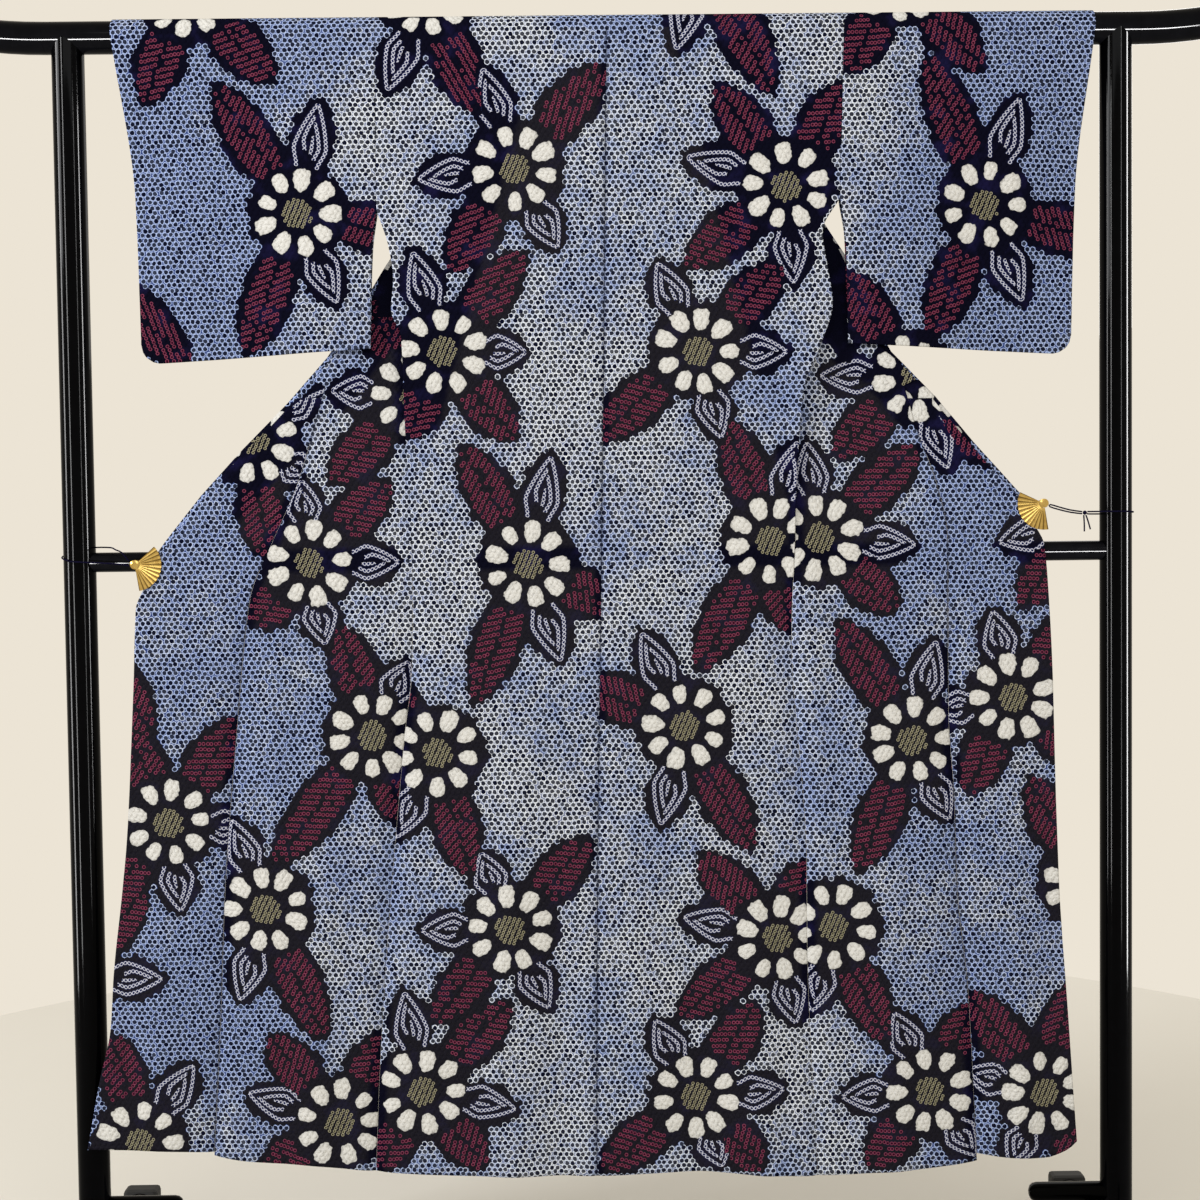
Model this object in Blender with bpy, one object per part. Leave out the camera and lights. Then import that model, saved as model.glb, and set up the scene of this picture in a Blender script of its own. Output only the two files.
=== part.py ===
"""A woman's cotton yukata, hung with its fronts turned outwards on a two-post stand.

Metres, +Z up. The back of the garment faces -Y, its left side lies towards -X, and the origin
is on the floor under the middle of the stand. The garment is cut as a real one is: two body
lengths that each run from the back hem over the shoulder to the front hem, two sleeves, two
front overlaps and one collar. Each front hangs behind the rail, folds outwards along a line
from the neck to the side seam, and comes forward to the clip that holds the collar's end.
"""

import math
from collections import namedtuple

import bmesh
import bpy

# Stand
RAIL_HEIGHT = 1.730
TUBE_RADIUS = 0.0215
RAIL_JOINT = 0.740
RAIL_HALF_LENGTH = 0.895
RAIL_TIP_RISE = 0.0176
CAP_LENGTH = 0.010
CAP_LIP = 0.0012
POST_OUT = 0.7115
BAR_RADIUS = 0.0135
BAR_HEIGHT = 1.020
STUB_HEIGHT = 0.125
STUB_END_OUT = 0.590
FOOT_HALF_LENGTH = 0.215
FOOT_HEIGHT = 0.0330
PAD_SIZE = (0.052, 0.030, 0.058)
PAD_BEVEL = 0.006
TUBE_SIDES = 24
BAR_SIDES = 20

# Cloth
WALL = 0.0012
GAP = 0.0003
RAIL_STEP = 22.5
OVER_RAIL = (TUBE_RADIUS + GAP + WALL / 2) / math.cos(math.radians(RAIL_STEP / 2))
LAYER = WALL + GAP
FOLD_WIDTH = 0.003
COLLAR_WIDTH = 0.060
COLLAR_PEEP = 0.007
COLLAR_BEHIND = 0.0021
COLLAR_FIRST_ROW = 0.014
COLLAR_TURN = 0.52
COLLAR_TURN_LENGTH = 0.14
SEAM_ALLOWANCE = 0.010
OKUMI_START = 0.022
EDGE_EASE = 0.05
UNDERARM = 0.13
NECK_CLEAR = 0.0012
SWAY = 0.0036
SWAY_HEIGHT = 0.63

# Heights of the rows of faces below the rail, down to where they start to follow the hem.
ROW_STEP = 0.062
CLOSEST_ROWS = 0.012
LAST_LEVEL = 0.30
ROWS_TO_HEM = 3

# Each edge of the cloth as a short table: height above the floor, distance out from the middle.
Station = namedtuple("Station", "height out")

# The fall of a crease or wave: depth is away from the viewer, and it grows from top to full.
Wave = namedtuple("Wave", "top full out_top out_low depth width")

Clip = namedtuple("Clip", "out height first_angle last_angle")

Side = namedtuple(
    "Side",
    "name sign neck armhole armhole_height turn_height side_edge okumi_top okumi_seam "
    "collar_edge corner_height free_edge sleeve_inner sleeve_outer clip",
)


def stations(*rows):
    return [Station(*row) for row in rows]


CENTRE_SEAM = stations((1.76, 0.019), (1.36, 0.011), (0.95, 0.0015), (0.55, -0.008), (0.15, -0.0137))

LEFT = Side(
    name="left",
    sign=-1,
    neck=0.071,
    armhole=stations((1.76, 0.2925), (1.49, 0.2945)),
    armhole_height=1.49,
    turn_height=1.10,
    side_edge=stations(
        (1.49, 0.2945), (1.44, 0.2790), (1.40, 0.2735), (1.355, 0.2770), (1.32, 0.2640),
        (1.19, 0.2605), (1.10, 0.2553), (1.00, 0.2533), (0.87, 0.2570), (0.775, 0.2690),
        (0.335, 0.3090), (0.15, 0.3190),
    ),
    okumi_top=1.262,
    okumi_seam=stations(
        (1.27, 0.3660), (1.125, 0.4077), (1.04, 0.4450), (0.97, 0.4740), (0.79, 0.4965),
        (0.555, 0.5180), (0.405, 0.5260), (0.15, 0.5430),
    ),
    collar_edge=stations(
        (1.73, 0.0710), (1.4325, 0.2786), (1.306, 0.3590), (1.212, 0.4410), (1.158, 0.4950),
        (1.097, 0.5490), (1.044, 0.5905), (1.006, 0.6180),
    ),
    corner_height=1.006,
    free_edge=stations(
        (1.006, 0.6180), (0.985, 0.6270), (0.85, 0.6346), (0.65, 0.6476), (0.58, 0.6550),
        (0.46, 0.6700), (0.38, 0.6765), (0.31, 0.6930), (0.20, 0.7145),
    ),
    sleeve_inner=stations((1.49, 0.2945), (1.44, 0.3010), (1.30, 0.3070)),
    sleeve_outer=stations((1.76, 0.6510), (1.50, 0.6235), (1.28, 0.6200)),
    clip=Clip(out=0.6290, height=1.0165, first_angle=42, last_angle=-81),
)

RIGHT = Side(
    name="right",
    sign=1,
    neck=0.109,
    armhole=stations((1.76, 0.3390), (1.50, 0.3310)),
    armhole_height=1.50,
    turn_height=1.10,
    side_edge=stations(
        (1.50, 0.3310), (1.455, 0.3070), (1.41, 0.3130), (1.36, 0.3200), (1.30, 0.3020),
        (1.245, 0.2800), (1.10, 0.2680), (1.04, 0.2660), (0.91, 0.2610), (0.60, 0.2790),
        (0.50, 0.2790), (0.15, 0.2920),
    ),
    okumi_top=1.252,
    okumi_seam=stations(
        (1.26, 0.4150), (1.18, 0.4370), (1.12, 0.4580), (1.04, 0.4740), (0.80, 0.4750),
        (0.69, 0.4820), (0.56, 0.4860), (0.42, 0.5000), (0.15, 0.5130),
    ),
    collar_edge=stations(
        (1.73, 0.1090), (1.474, 0.3140), (1.436, 0.3400), (1.307, 0.3920), (1.268, 0.4310),
        (1.2005, 0.4860), (1.137, 0.5385), (1.105, 0.5680), (1.078, 0.5930),
    ),
    corner_height=1.078,
    free_edge=stations(
        (1.078, 0.5930), (1.05, 0.6030), (0.98, 0.6100), (0.85, 0.6165), (0.745, 0.6190),
        (0.56, 0.6250), (0.38, 0.6370), (0.20, 0.6490),
    ),
    sleeve_inner=stations((1.50, 0.3310), (1.45, 0.3380), (1.30, 0.3420)),
    sleeve_outer=stations((1.76, 0.6805), (1.50, 0.6550), (1.28, 0.6490)),
    clip=Clip(out=0.6050, height=1.0850, first_angle=155, last_angle=279),
)

SIDES = (LEFT, RIGHT)

# Height of the hem, by distance across from the middle. The front overlaps hang a little higher.
Hem = namedtuple("Hem", "across height")
BODY_HEM = [
    Hem(-0.545, 0.2040), Hem(-0.494, 0.1954), Hem(-0.396, 0.1885), Hem(-0.315, 0.1777),
    Hem(-0.161, 0.1699), Hem(-0.011, 0.1677), Hem(0.112, 0.1713), Hem(0.278, 0.1633),
    Hem(0.427, 0.1706), Hem(0.515, 0.1800),
]
OKUMI_HEM = [
    Hem(-0.715, 0.2150), Hem(-0.605, 0.2120), Hem(-0.540, 0.2080), Hem(0.508, 0.1900),
    Hem(0.555, 0.1852), Hem(0.604, 0.1844), Hem(0.634, 0.1936), Hem(0.650, 0.2071),
]

# The largest folds of the hanging cloth. Depth is positive away from the viewer.
WAVES = [
    Wave(top=1.46, full=1.25, out_top=0.300, out_low=0.286, depth=-0.0030, width=0.020),
    Wave(top=1.00, full=0.45, out_top=-0.080, out_low=-0.130, depth=-0.0050, width=0.030),
    Wave(top=0.80, full=0.30, out_top=-0.040, out_low=-0.060, depth=0.0040, width=0.024),
    Wave(top=0.95, full=0.35, out_top=0.080, out_low=0.130, depth=0.0040, width=0.032),
    Wave(top=0.95, full=0.35, out_top=0.180, out_low=0.215, depth=-0.0050, width=0.028),
    Wave(top=0.90, full=0.35, out_top=-0.350, out_low=-0.400, depth=-0.0045, width=0.030),
    Wave(top=0.90, full=0.35, out_top=0.370, out_low=0.400, depth=-0.0045, width=0.030),
    Wave(top=0.80, full=0.30, out_top=-0.580, out_low=-0.610, depth=-0.0040, width=0.028),
    Wave(top=0.85, full=0.30, out_top=0.545, out_low=0.575, depth=-0.0050, width=0.024),
]
SIDE_VALLEY = 0.0045
OKUMI_VALLEY = 0.0035
VALLEY_WIDTH = 0.018
VALLEY_TOP = 1.08
VALLEY_FULL = 0.80

# How far the turned-out front lies behind the back panel, by height at the side seam. At its
# outer edge it falls in a straight line to the clip.
Lift = namedtuple("Lift", "height behind")
LIFT_AT_RAIL = 0.0478
SIDE_LIFT = [Lift(0.97, 0.0), Lift(1.03, 0.0012), Lift(1.10, 0.0062), Lift(1.73, LIFT_AT_RAIL)]
CLIP_LIFT = 0.0008
CLIP_LIFT_START = 0.06

# Sleeve. The shares are across it, from the body to the cuff, or down it.
SLEEVE_BOTTOM_OUTER = 1.289
SLEEVE_BOTTOM_INNER = 1.306
SLEEVE_CORNER = 0.027
SLEEVE_END_GAP = 0.0032
SLEEVE_FORWARD = -0.0145
SLEEVE_LOOSE = 0.16
SLEEVE_TAPER = 0.9
SLEEVE_LAST_COLUMN = 0.955
BODY_SHARE = 0.20
CUFF_SHARE = 0.70
SLEEVE_FLAT = 0.92
CUFF_LENGTH = 0.23
CUFF_SHUT = 0.0016

# Clips and cords
CLIP_PLANE = -0.0252
CLIP_FLAT = 0.045
CLIP_FADE = 0.070
FAN_RADIUS = 0.036
FAN_HUB = 0.0065
FAN_PLEATS = 12
FAN_PLEAT_DEPTH = 0.0011
FAN_THICK = 0.0010
PIN_RADIUS = 0.0026
PIN_HEAD = 0.0016
PIN_SHOULDER = 0.0002
PIN_NECK = 0.0006
JAW_RADIUS = 0.024
JAW_NARROWER = 0.15
JAW_FROM_TIP = 0.020
CORD_RADIUS = 0.0010
CORD_SLACK = 0.0004
CORD_OFF_CLOTH = 0.0020
CORD_APART = 0.0014
WRAP_START = 5
WRAP_END = 232
WRAP_PLACES = 10
KNOT_RADIUS = 0.0029
KNOT_PLACE = (0.6605, 1.0715)

BLACK_PAINT = ("black_paint", (0.012, 0.012, 0.014), 0.22, 0.0)
RUBBER = ("rubber", (0.03, 0.03, 0.03), 0.70, 0.0)
COTTON = ("shibori_cotton", (0.16, 0.20, 0.40), 0.90, 0.0)
GOLD = ("gold", (0.80, 0.56, 0.18), 0.25, 1.0)
CORD = ("navy_cord", (0.02, 0.02, 0.06), 0.80, 0.0)


def clear_scene():
    for thing in list(bpy.data.objects):
        bpy.data.objects.remove(thing, do_unlink=True)


def material(look):
    name, colour, roughness, metallic = look
    made = bpy.data.materials.get(name) or bpy.data.materials.new(name)
    made.use_nodes = True
    shader = made.node_tree.nodes["Principled BSDF"]
    shader.inputs["Base Color"].default_value = (*colour, 1.0)
    shader.inputs["Roughness"].default_value = roughness
    shader.inputs["Metallic"].default_value = metallic
    return made


def smooth(t):
    t = min(max(t, 0.0), 1.0)
    return t * t * (3 - 2 * t)


def mix(a, b, t):
    return a + (b - a) * t


def through(table, at):
    """The smooth line through a table's rows, which never swings past them."""
    rows = sorted((tuple(row) for row in table))
    xs = [row[0] for row in rows]
    ys = [row[1] for row in rows]
    if at <= xs[0]:
        return ys[0]
    if at >= xs[-1]:
        return ys[-1]
    rises = [(ys[i + 1] - ys[i]) / (xs[i + 1] - xs[i]) for i in range(len(xs) - 1)]
    slopes = [rises[0]]
    for before, after in zip(rises, rises[1:]):
        flat = before * after <= 0
        slopes.append(0.0 if flat else 2 * before * after / (before + after))
    slopes.append(rises[-1])
    i = max(k for k in range(len(xs) - 1) if xs[k] <= at)
    width = xs[i + 1] - xs[i]
    t = (at - xs[i]) / width
    start = (1 + 2 * t) * (1 - t) ** 2 * ys[i] + t * (1 - t) ** 2 * width * slopes[i]
    end = t * t * (3 - 2 * t) * ys[i + 1] + t * t * (t - 1) * width * slopes[i + 1]
    return start + end


def levels(top, bottom=LAST_LEVEL):
    """Heights shared by every hanging piece, so that rows meet at the seams."""
    count = round((RAIL_HEIGHT - LAST_LEVEL) / ROW_STEP)
    every = [mix(RAIL_HEIGHT, LAST_LEVEL, i / count) for i in range(count + 1)]
    return [height for height in every if bottom - 1e-6 <= height <= top + 1e-6]


def side_out(side, z):
    """How far out the back's side edge is. It is straight where the sleeve is sewn on."""
    return through(side.armhole if z > side.armhole_height else side.side_edge, z)


def sleeve_in(side, z):
    return through(side.armhole if z > side.armhole_height else side.sleeve_inner, z)


def bump(distance, width):
    return math.exp(-((distance / width) ** 2))


def hanging(x, z):
    """The y of the sheet that faces the viewer, with its largest folds."""
    y = -OVER_RAIL - SWAY * smooth((RAIL_HEIGHT - z) / SWAY_HEIGHT)
    for wave in WAVES:
        grown = smooth((wave.top - z) / (wave.top - wave.full))
        middle = mix(wave.out_top, wave.out_low, grown)
        y += wave.depth * grown * bump(x - middle, wave.width)
    deep = smooth((VALLEY_TOP - z) / (VALLEY_TOP - VALLEY_FULL))
    for side in SIDES:
        out = side.sign * x
        y += SIDE_VALLEY * deep * bump(out - side_out(side, z), VALLEY_WIDTH)
        y += OKUMI_VALLEY * deep * bump(out - through(side.okumi_seam, z), VALLEY_WIDTH)
    return y


def lift(side, out, z):
    """How far the turned-out front lies behind the back panel."""
    clip = side.clip
    at_clip = [
        Lift(clip.height - CLIP_LIFT_START, 0.0),
        Lift(clip.height, CLIP_LIFT),
        Lift(RAIL_HEIGHT, LIFT_AT_RAIL),
    ]
    seam = side_out(side, z)
    return mix(through(SIDE_LIFT, z), through(at_clip, z), smooth((out - seam) / (clip.out - seam)))


def front_y(x, z):
    """The y of the front that is turned out. It lies flat where a clip holds it."""
    side = SIDES[x > 0]
    clip = side.clip
    y = hanging(x, z) + lift(side, abs(x), z)
    away = math.hypot(abs(x) - clip.out, z - clip.height)
    return mix(CLIP_PLANE, y, smooth((away - CLIP_FLAT) / CLIP_FADE))


def side_gap(side, z):
    """How far the front's side edge hangs behind the back's, down to the side seam."""
    t = (RAIL_HEIGHT - z) / (RAIL_HEIGHT - side.armhole_height + UNDERARM)
    return mix(2 * OVER_RAIL, LAYER, min(max(t, 0.0), 1.0))


def fold_out(side, z):
    """Where the front folds outwards: a straight line from the neck to the side seam."""
    t = (RAIL_HEIGHT - z) / (RAIL_HEIGHT - side.turn_height)
    return mix(side.neck, side_out(side, side.turn_height) - SEAM_ALLOWANCE, t)


def collar_line(side, z):
    return through(side.collar_edge, z)


class Cloth:
    """The middle surface of one piece, made of patches that share the corners they meet at."""

    def __init__(self):
        self.points = []
        self.faces = []
        self.known = {}

    def corner(self, point):
        key = tuple(round(value, 6) for value in point)
        if key not in self.known:
            self.known[key] = len(self.points)
            self.points.append(tuple(point))
        return self.known[key]

    def patch(self, rows):
        for upper, lower in zip(rows, rows[1:]):
            for i in range(len(upper) - 1):
                ring = (upper[i], upper[i + 1], lower[i + 1], lower[i])
                face = list(dict.fromkeys(self.corner(point) for point in ring))
                if len(face) > 2:
                    self.faces.append(face)

    def make(self, name):
        """A closed wall of even thickness round the middle surface."""
        mesh = bpy.data.meshes.new(name)
        mesh.from_pydata(self.points, [], self.faces)
        work = bmesh.new()
        work.from_mesh(mesh)
        bmesh.ops.recalc_face_normals(work, faces=work.faces)
        work.to_mesh(mesh)
        work.free()
        made = add_object(name, mesh, COTTON)
        wall = made.modifiers.new("wall", "SOLIDIFY")
        wall.thickness = WALL
        wall.offset = 0.0
        wall.use_even_offset = True
        wall.thickness_clamp = 0.0


def add_object(name, mesh, look):
    mesh.shade_smooth()
    mesh.set_sharp_from_angle(angle=math.radians(40))
    made = bpy.data.objects.new(name, mesh)
    bpy.context.collection.objects.link(made)
    made.data.materials.append(material(look))
    return made


def spread(first, last, count):
    return [mix(first, last, i / count) for i in range(count + 1)]


def over_rail(x, angle, radius=OVER_RAIL):
    """A point of the cloth where it lies on the rail. Angle 0 is the top, and 90 is behind."""
    turn = math.radians(angle)
    return (x, radius * math.sin(turn), RAIL_HEIGHT + radius * math.cos(turn))


def sheet_rows(edges, shares, heights, y_of):
    """Level rows of a hanging sheet. edges gives both of its ends at a height."""
    rows = []
    for z in heights:
        across = [mix(*edges(z), share) for share in shares]
        rows.append([(x, y_of(x, z), z) for x in across])
    return rows


def rows_to_hem(edges, shares, hem, y_of):
    """Rows that go on from the last level and close on the hem."""
    rows = []
    for step in range(1, ROWS_TO_HEM + 1):
        row = []
        for share in shares:
            x = mix(*edges(LAST_LEVEL), share)
            for _ in range(2):
                z = mix(LAST_LEVEL, through(hem, x), step / ROWS_TO_HEM)
                x = mix(*edges(z), share)
            row.append((x, y_of(x, z), z))
        rows.append(row)
    return rows


def make_body(side):
    """One body length: back panel, shoulder, and the front with its outward fold."""
    cloth = Cloth()
    sign = side.sign
    neck_columns, shoulder_columns, front_columns = 3, 8, 8

    def back_edges(z):
        centre = through(CENTRE_SEAM, z) + sign * GAP / 2
        return centre, sign * (side_out(side, z) - GAP / 2)

    # The columns of the back divide at the line that runs down from the neck point.
    centre, edge = back_edges(RAIL_HEIGHT)
    neck_share = (sign * side.neck - centre) / (edge - centre)
    shares = spread(0, neck_share, neck_columns) + spread(neck_share, 1, shoulder_columns)[1:]
    back = sheet_rows(back_edges, shares, levels(RAIL_HEIGHT), hanging)
    back += rows_to_hem(back_edges, shares, BODY_HEM, hanging)
    cloth.patch(back)

    # Over the rail. The back ends at the neck, and the shoulder goes on behind.
    top = [mix(centre, edge, share) for share in shares]
    neck, shoulder = top[: neck_columns + 1], top[neck_columns:]
    neck_end = -math.degrees(GAP / 2 / OVER_RAIL)
    rising = [RAIL_STEP * i for i in (-4, -3, -2, -1)]
    falling = [RAIL_STEP * i for i in (1, 2, 3, 4)]
    cloth.patch([[over_rail(x, angle) for x in neck] for angle in (*rising, neck_end)])
    angles = (*rising, neck_end, *falling)
    cloth.patch([[over_rail(x, angle) for x in shoulder] for angle in angles])

    # Behind the rail, from the fold line to the side edge.
    def under_row(z):
        row = []
        for share in spread(0, 1, shoulder_columns):
            x = mix(sign * fold_out(side, z), back_edges(z)[1], share)
            fold_y = front_y(x, z) - FOLD_WIDTH
            edge_y = hanging(x, z) + side_gap(side, z)
            row.append((x, mix(fold_y, edge_y, share), z))
        return row

    below_rail = levels(RAIL_HEIGHT, side.turn_height)[1:]
    under = [under_row(z) for z in below_rail]
    cloth.patch([[over_rail(x, 90) for x in shoulder], *under])

    # The fold itself, and the front that it turns out.
    def turn_row(z, start):
        row = [start]
        for angle in (60, 120, 180):
            turn = math.radians(angle)
            x = start[0] - sign * FOLD_WIDTH / 2 * math.sin(turn)
            row.append((x, start[1] + FOLD_WIDTH / 2 * (1 - math.cos(turn)), z))
        return row

    turns = [turn_row(z, row[0]) for z, row in zip(below_rail, under)]
    cloth.patch(turns)

    def front_inner(z):
        if z >= side.turn_height:
            return fold_out(side, z)
        hidden = side_out(side, side.turn_height) - SEAM_ALLOWANCE
        seam = side_out(side, z) + GAP / 2
        return mix(min(hidden, seam), seam, smooth((side.turn_height - z) / EDGE_EASE))

    def front_outer(z):
        if z > side.okumi_top:
            return collar_line(side, z) - COLLAR_PEEP
        return through(side.okumi_seam, z) - GAP / 2

    def front_edges(z):
        return sign * front_inner(z), sign * front_outer(z)

    shares = spread(0, 1, front_columns)
    front = sheet_rows(front_edges, shares, levels(below_rail[0]), front_y)
    for row, turn in zip(front, turns):
        row[0] = turn[-1]
    front += rows_to_hem(front_edges, shares, BODY_HEM, front_y)
    cloth.patch(front)
    cloth.make(f"body_{side.name}")


def make_okumi(side):
    """The front overlap: a narrow panel sewn to the front's edge, under the collar."""
    cloth = Cloth()

    def outer(z):
        if z > side.corner_height:
            return collar_line(side, z) - COLLAR_PEEP
        start = side.free_edge[0].out - COLLAR_PEEP
        eased = smooth((side.corner_height - z) / EDGE_EASE)
        return mix(start, through(side.free_edge, z), eased)

    def edges(z):
        inner = through(side.okumi_seam, z) + GAP / 2
        return side.sign * inner, side.sign * outer(z)

    shares = spread(0, 1, 6)
    first = side.okumi_top - OKUMI_START
    heights = [first, *levels(first - CLOSEST_ROWS)]
    rows = sheet_rows(edges, shares, heights, front_y)
    rows += rows_to_hem(edges, shares, OKUMI_HEM, front_y)
    cloth.patch(rows)
    cloth.make(f"okumi_{side.name}")


def make_collar():
    """One strip from the left front over the back of the neck to the right front."""
    cloth = Cloth()
    quarter = math.pi / 2 * OVER_RAIL
    behind_top = LIFT_AT_RAIL - OVER_RAIL + COLLAR_BEHIND
    first_angle = GAP / 2 / OVER_RAIL
    neck_shares = (0.4, 0.6, 0.8, 1.0)

    def lay(x, drop):
        """A point behind the garment, by how far it is along the cloth from the rail's top."""
        if drop < quarter:
            turn = max(drop / OVER_RAIL, first_angle)
            radius = mix(OVER_RAIL, behind_top, smooth(turn / (math.pi / 2)))
            return (x, radius * math.sin(turn), RAIL_HEIGHT + radius * math.cos(turn))
        z = RAIL_HEIGHT - (drop - quarter)
        return (x, front_y(x, z) + COLLAR_BEHIND, z)

    def leg(side):
        """Pairs of edge points from the neck to the clip."""
        sign = side.sign
        first = RAIL_HEIGHT - COLLAR_FIRST_ROW
        below = levels(first - CLOSEST_ROWS, side.corner_height + CLOSEST_ROWS)
        ends = [(sign * (side.neck - NECK_CLEAR), share * quarter) for share in neck_shares]
        for z in [first, *below, side.corner_height]:
            ends.append((sign * collar_line(side, z), quarter + RAIL_HEIGHT - z))
        pairs = []
        for i, (x, drop) in enumerate(ends):
            before, after = ends[max(i - 1, 0)], ends[min(i + 1, len(ends) - 1)]
            if i < len(neck_shares):
                before, after = ends[len(neck_shares) - 1], ends[len(neck_shares)]
            along = (after[0] - before[0], after[1] - before[1])
            length = math.hypot(*along)
            along = (along[0] / length, along[1] / length)
            inward = (-sign * along[1], sign * along[0])
            travelled = math.hypot(x - ends[0][0], drop - ends[0][1])
            push = COLLAR_WIDTH * COLLAR_TURN * max(0.0, 1 - travelled / COLLAR_TURN_LENGTH)
            far_x = x + COLLAR_WIDTH * inward[0] + push * along[0]
            far_drop = drop + COLLAR_WIDTH * inward[1] + push * along[1]
            pairs.append(((x, drop), (far_x, far_drop)))
        return pairs

    left, right = leg(LEFT), leg(RIGHT)
    across = []
    for t in spread(0, 1, 6):
        near_x = mix(NECK_CLEAR - LEFT.neck, RIGHT.neck - NECK_CLEAR, t)
        far_x = mix(left[0][1][0], right[0][1][0], t)
        far_drop = mix(left[0][1][1], right[0][1][1], t)
        across.append(((near_x, 0.0), (far_x, far_drop)))
    rows = []
    for near, far in [*reversed(left), *across, *right]:
        points = [(mix(near[0], far[0], t), mix(near[1], far[1], t)) for t in spread(0, 1, 7)]
        rows.append([lay(*point) for point in points])
    cloth.patch(rows)
    cloth.make("collar")


def make_sleeve(side):
    """A sleeve tube that hangs over the rail, open at the body and at the cuff."""
    cloth = Cloth()
    sign = side.sign
    columns = [*spread(0, SLEEVE_LAST_COLUMN, 8), 1.0]
    width = side.sleeve_outer[-1].out - side.sleeve_inner[-1].out
    cuff_end = RAIL_HEIGHT + OVER_RAIL - CUFF_LENGTH

    def bottom(share):
        """The height of the sleeve's lower edge, with its rounded outer corner."""
        straight = mix(SLEEVE_BOTTOM_INNER, SLEEVE_BOTTOM_OUTER, share) + SLEEVE_END_GAP / 2
        inside = max(0.0, SLEEVE_CORNER - (1 - share) * width)
        return straight + SLEEVE_CORNER - math.sqrt(SLEEVE_CORNER**2 - inside**2)

    def across(share, z):
        inner = sleeve_in(side, z) + GAP / 2
        return sign * mix(inner, through(side.sleeve_outer, z), share)

    def layers(share, z):
        """The y of the near and the far layer."""
        fall = min(max((RAIL_HEIGHT - z) / (RAIL_HEIGHT - bottom(share)), 0.0), 1.0)
        half = mix(OVER_RAIL, SLEEVE_END_GAP / 2, fall**SLEEVE_TAPER)
        body_near = hanging(sign * sleeve_in(side, z), z)
        body_gap = side_gap(side, z)
        loose = smooth((side.armhole_height - z) / SLEEVE_LOOSE)
        body_half = mix(max(body_gap, SLEEVE_END_GAP) / 2, half, loose)
        body_middle = mix(body_near + body_gap / 2, SLEEVE_FORWARD, loose)
        shut = smooth((RAIL_HEIGHT - z) / (RAIL_HEIGHT - cuff_end))
        cuff_half = mix(OVER_RAIL, CUFF_SHUT, shut)
        near_body = 1 - smooth((share - BODY_SHARE) / (CUFF_SHARE - BODY_SHARE))
        near_cuff = smooth((share - CUFF_SHARE) / (1 - CUFF_SHARE))
        half = mix(mix(half, body_half, near_body), cuff_half, near_cuff)
        half = mix(half, SLEEVE_END_GAP / 2, smooth((fall - SLEEVE_FLAT) / (1 - SLEEVE_FLAT)))
        middle = body_middle * near_body
        return middle - half, middle + half

    near, far = [], []
    for down in spread(0, 1, 8):
        places = [(share, mix(RAIL_HEIGHT, bottom(share), down)) for share in columns]
        near.append([(across(share, z), layers(share, z)[0], z) for share, z in places])
        far.append([(across(share, z), layers(share, z)[1], z) for share, z in places])
    top = [across(share, RAIL_HEIGHT) for share in columns]
    over = [[over_rail(x, RAIL_STEP * i) for x in top] for i in range(-3, 4)]
    under = []
    for turn in spread(0, math.pi, 4)[1:-1]:
        row = []
        for start, end in zip(far[-1], near[-1]):
            half = (start[1] - end[1]) / 2
            middle = (start[1] + end[1]) / 2
            row.append((start[0], middle + half * math.cos(turn), start[2] - half * math.sin(turn)))
        under.append(row)
    cloth.patch([*reversed(near), *over, *far, *under, near[-1]])
    cloth.make(f"sleeve_{side.name}")


def solid(name, points, faces, look):
    mesh = bpy.data.meshes.new(name)
    mesh.from_pydata(points, [], faces)
    work = bmesh.new()
    work.from_mesh(mesh)
    bmesh.ops.recalc_face_normals(work, faces=work.faces)
    work.to_mesh(mesh)
    work.free()
    return add_object(name, mesh, look)


def circle(sides=TUBE_SIDES):
    """Directions round a tube."""
    turns = [2 * math.pi * i / sides for i in range(sides)]
    return [(math.cos(turn), math.sin(turn)) for turn in turns]


def saddle(across, radius=TUBE_RADIUS):
    """How far from a round tube's middle a tube that is cut to fit it ends."""
    return math.sqrt(max((radius + GAP) ** 2 - across**2, 0.0))


def end_faces(start, sides, seat):
    """Faces over a tube's end. A seat is curved one way: straight strips join the two corners
    that share their cosine ("cos") or their sine ("sin"). None closes a flat end."""
    if seat is None:
        return [[start + i for i in range(sides)]]
    shift = 0 if seat == "cos" else sides // 4
    faces = []
    for i in range(sides // 2):
        corners = (shift + i, shift + i + 1, shift - i - 1, shift - i)
        faces.append([start + k for k in dict.fromkeys(k % sides for k in corners)])
    return faces


def tube(name, rings, look, seats=(None, None)):
    """A closed tube through rings of points."""
    sides = len(rings[0])
    points = [point for ring in rings for point in ring]
    faces = []
    for k in range(len(rings) - 1):
        for i in range(sides):
            j = (i + 1) % sides
            faces.append([k * sides + i, k * sides + j, (k + 1) * sides + j, (k + 1) * sides + i])
    faces += end_faces(0, sides, seats[0])
    faces += end_faces((len(rings) - 1) * sides, sides, seats[1])
    return solid(name, points, faces, look)


def rail_ring(x, height, radius=TUBE_RADIUS):
    return [(x, radius * c, height + radius * s) for c, s in circle()]


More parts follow.
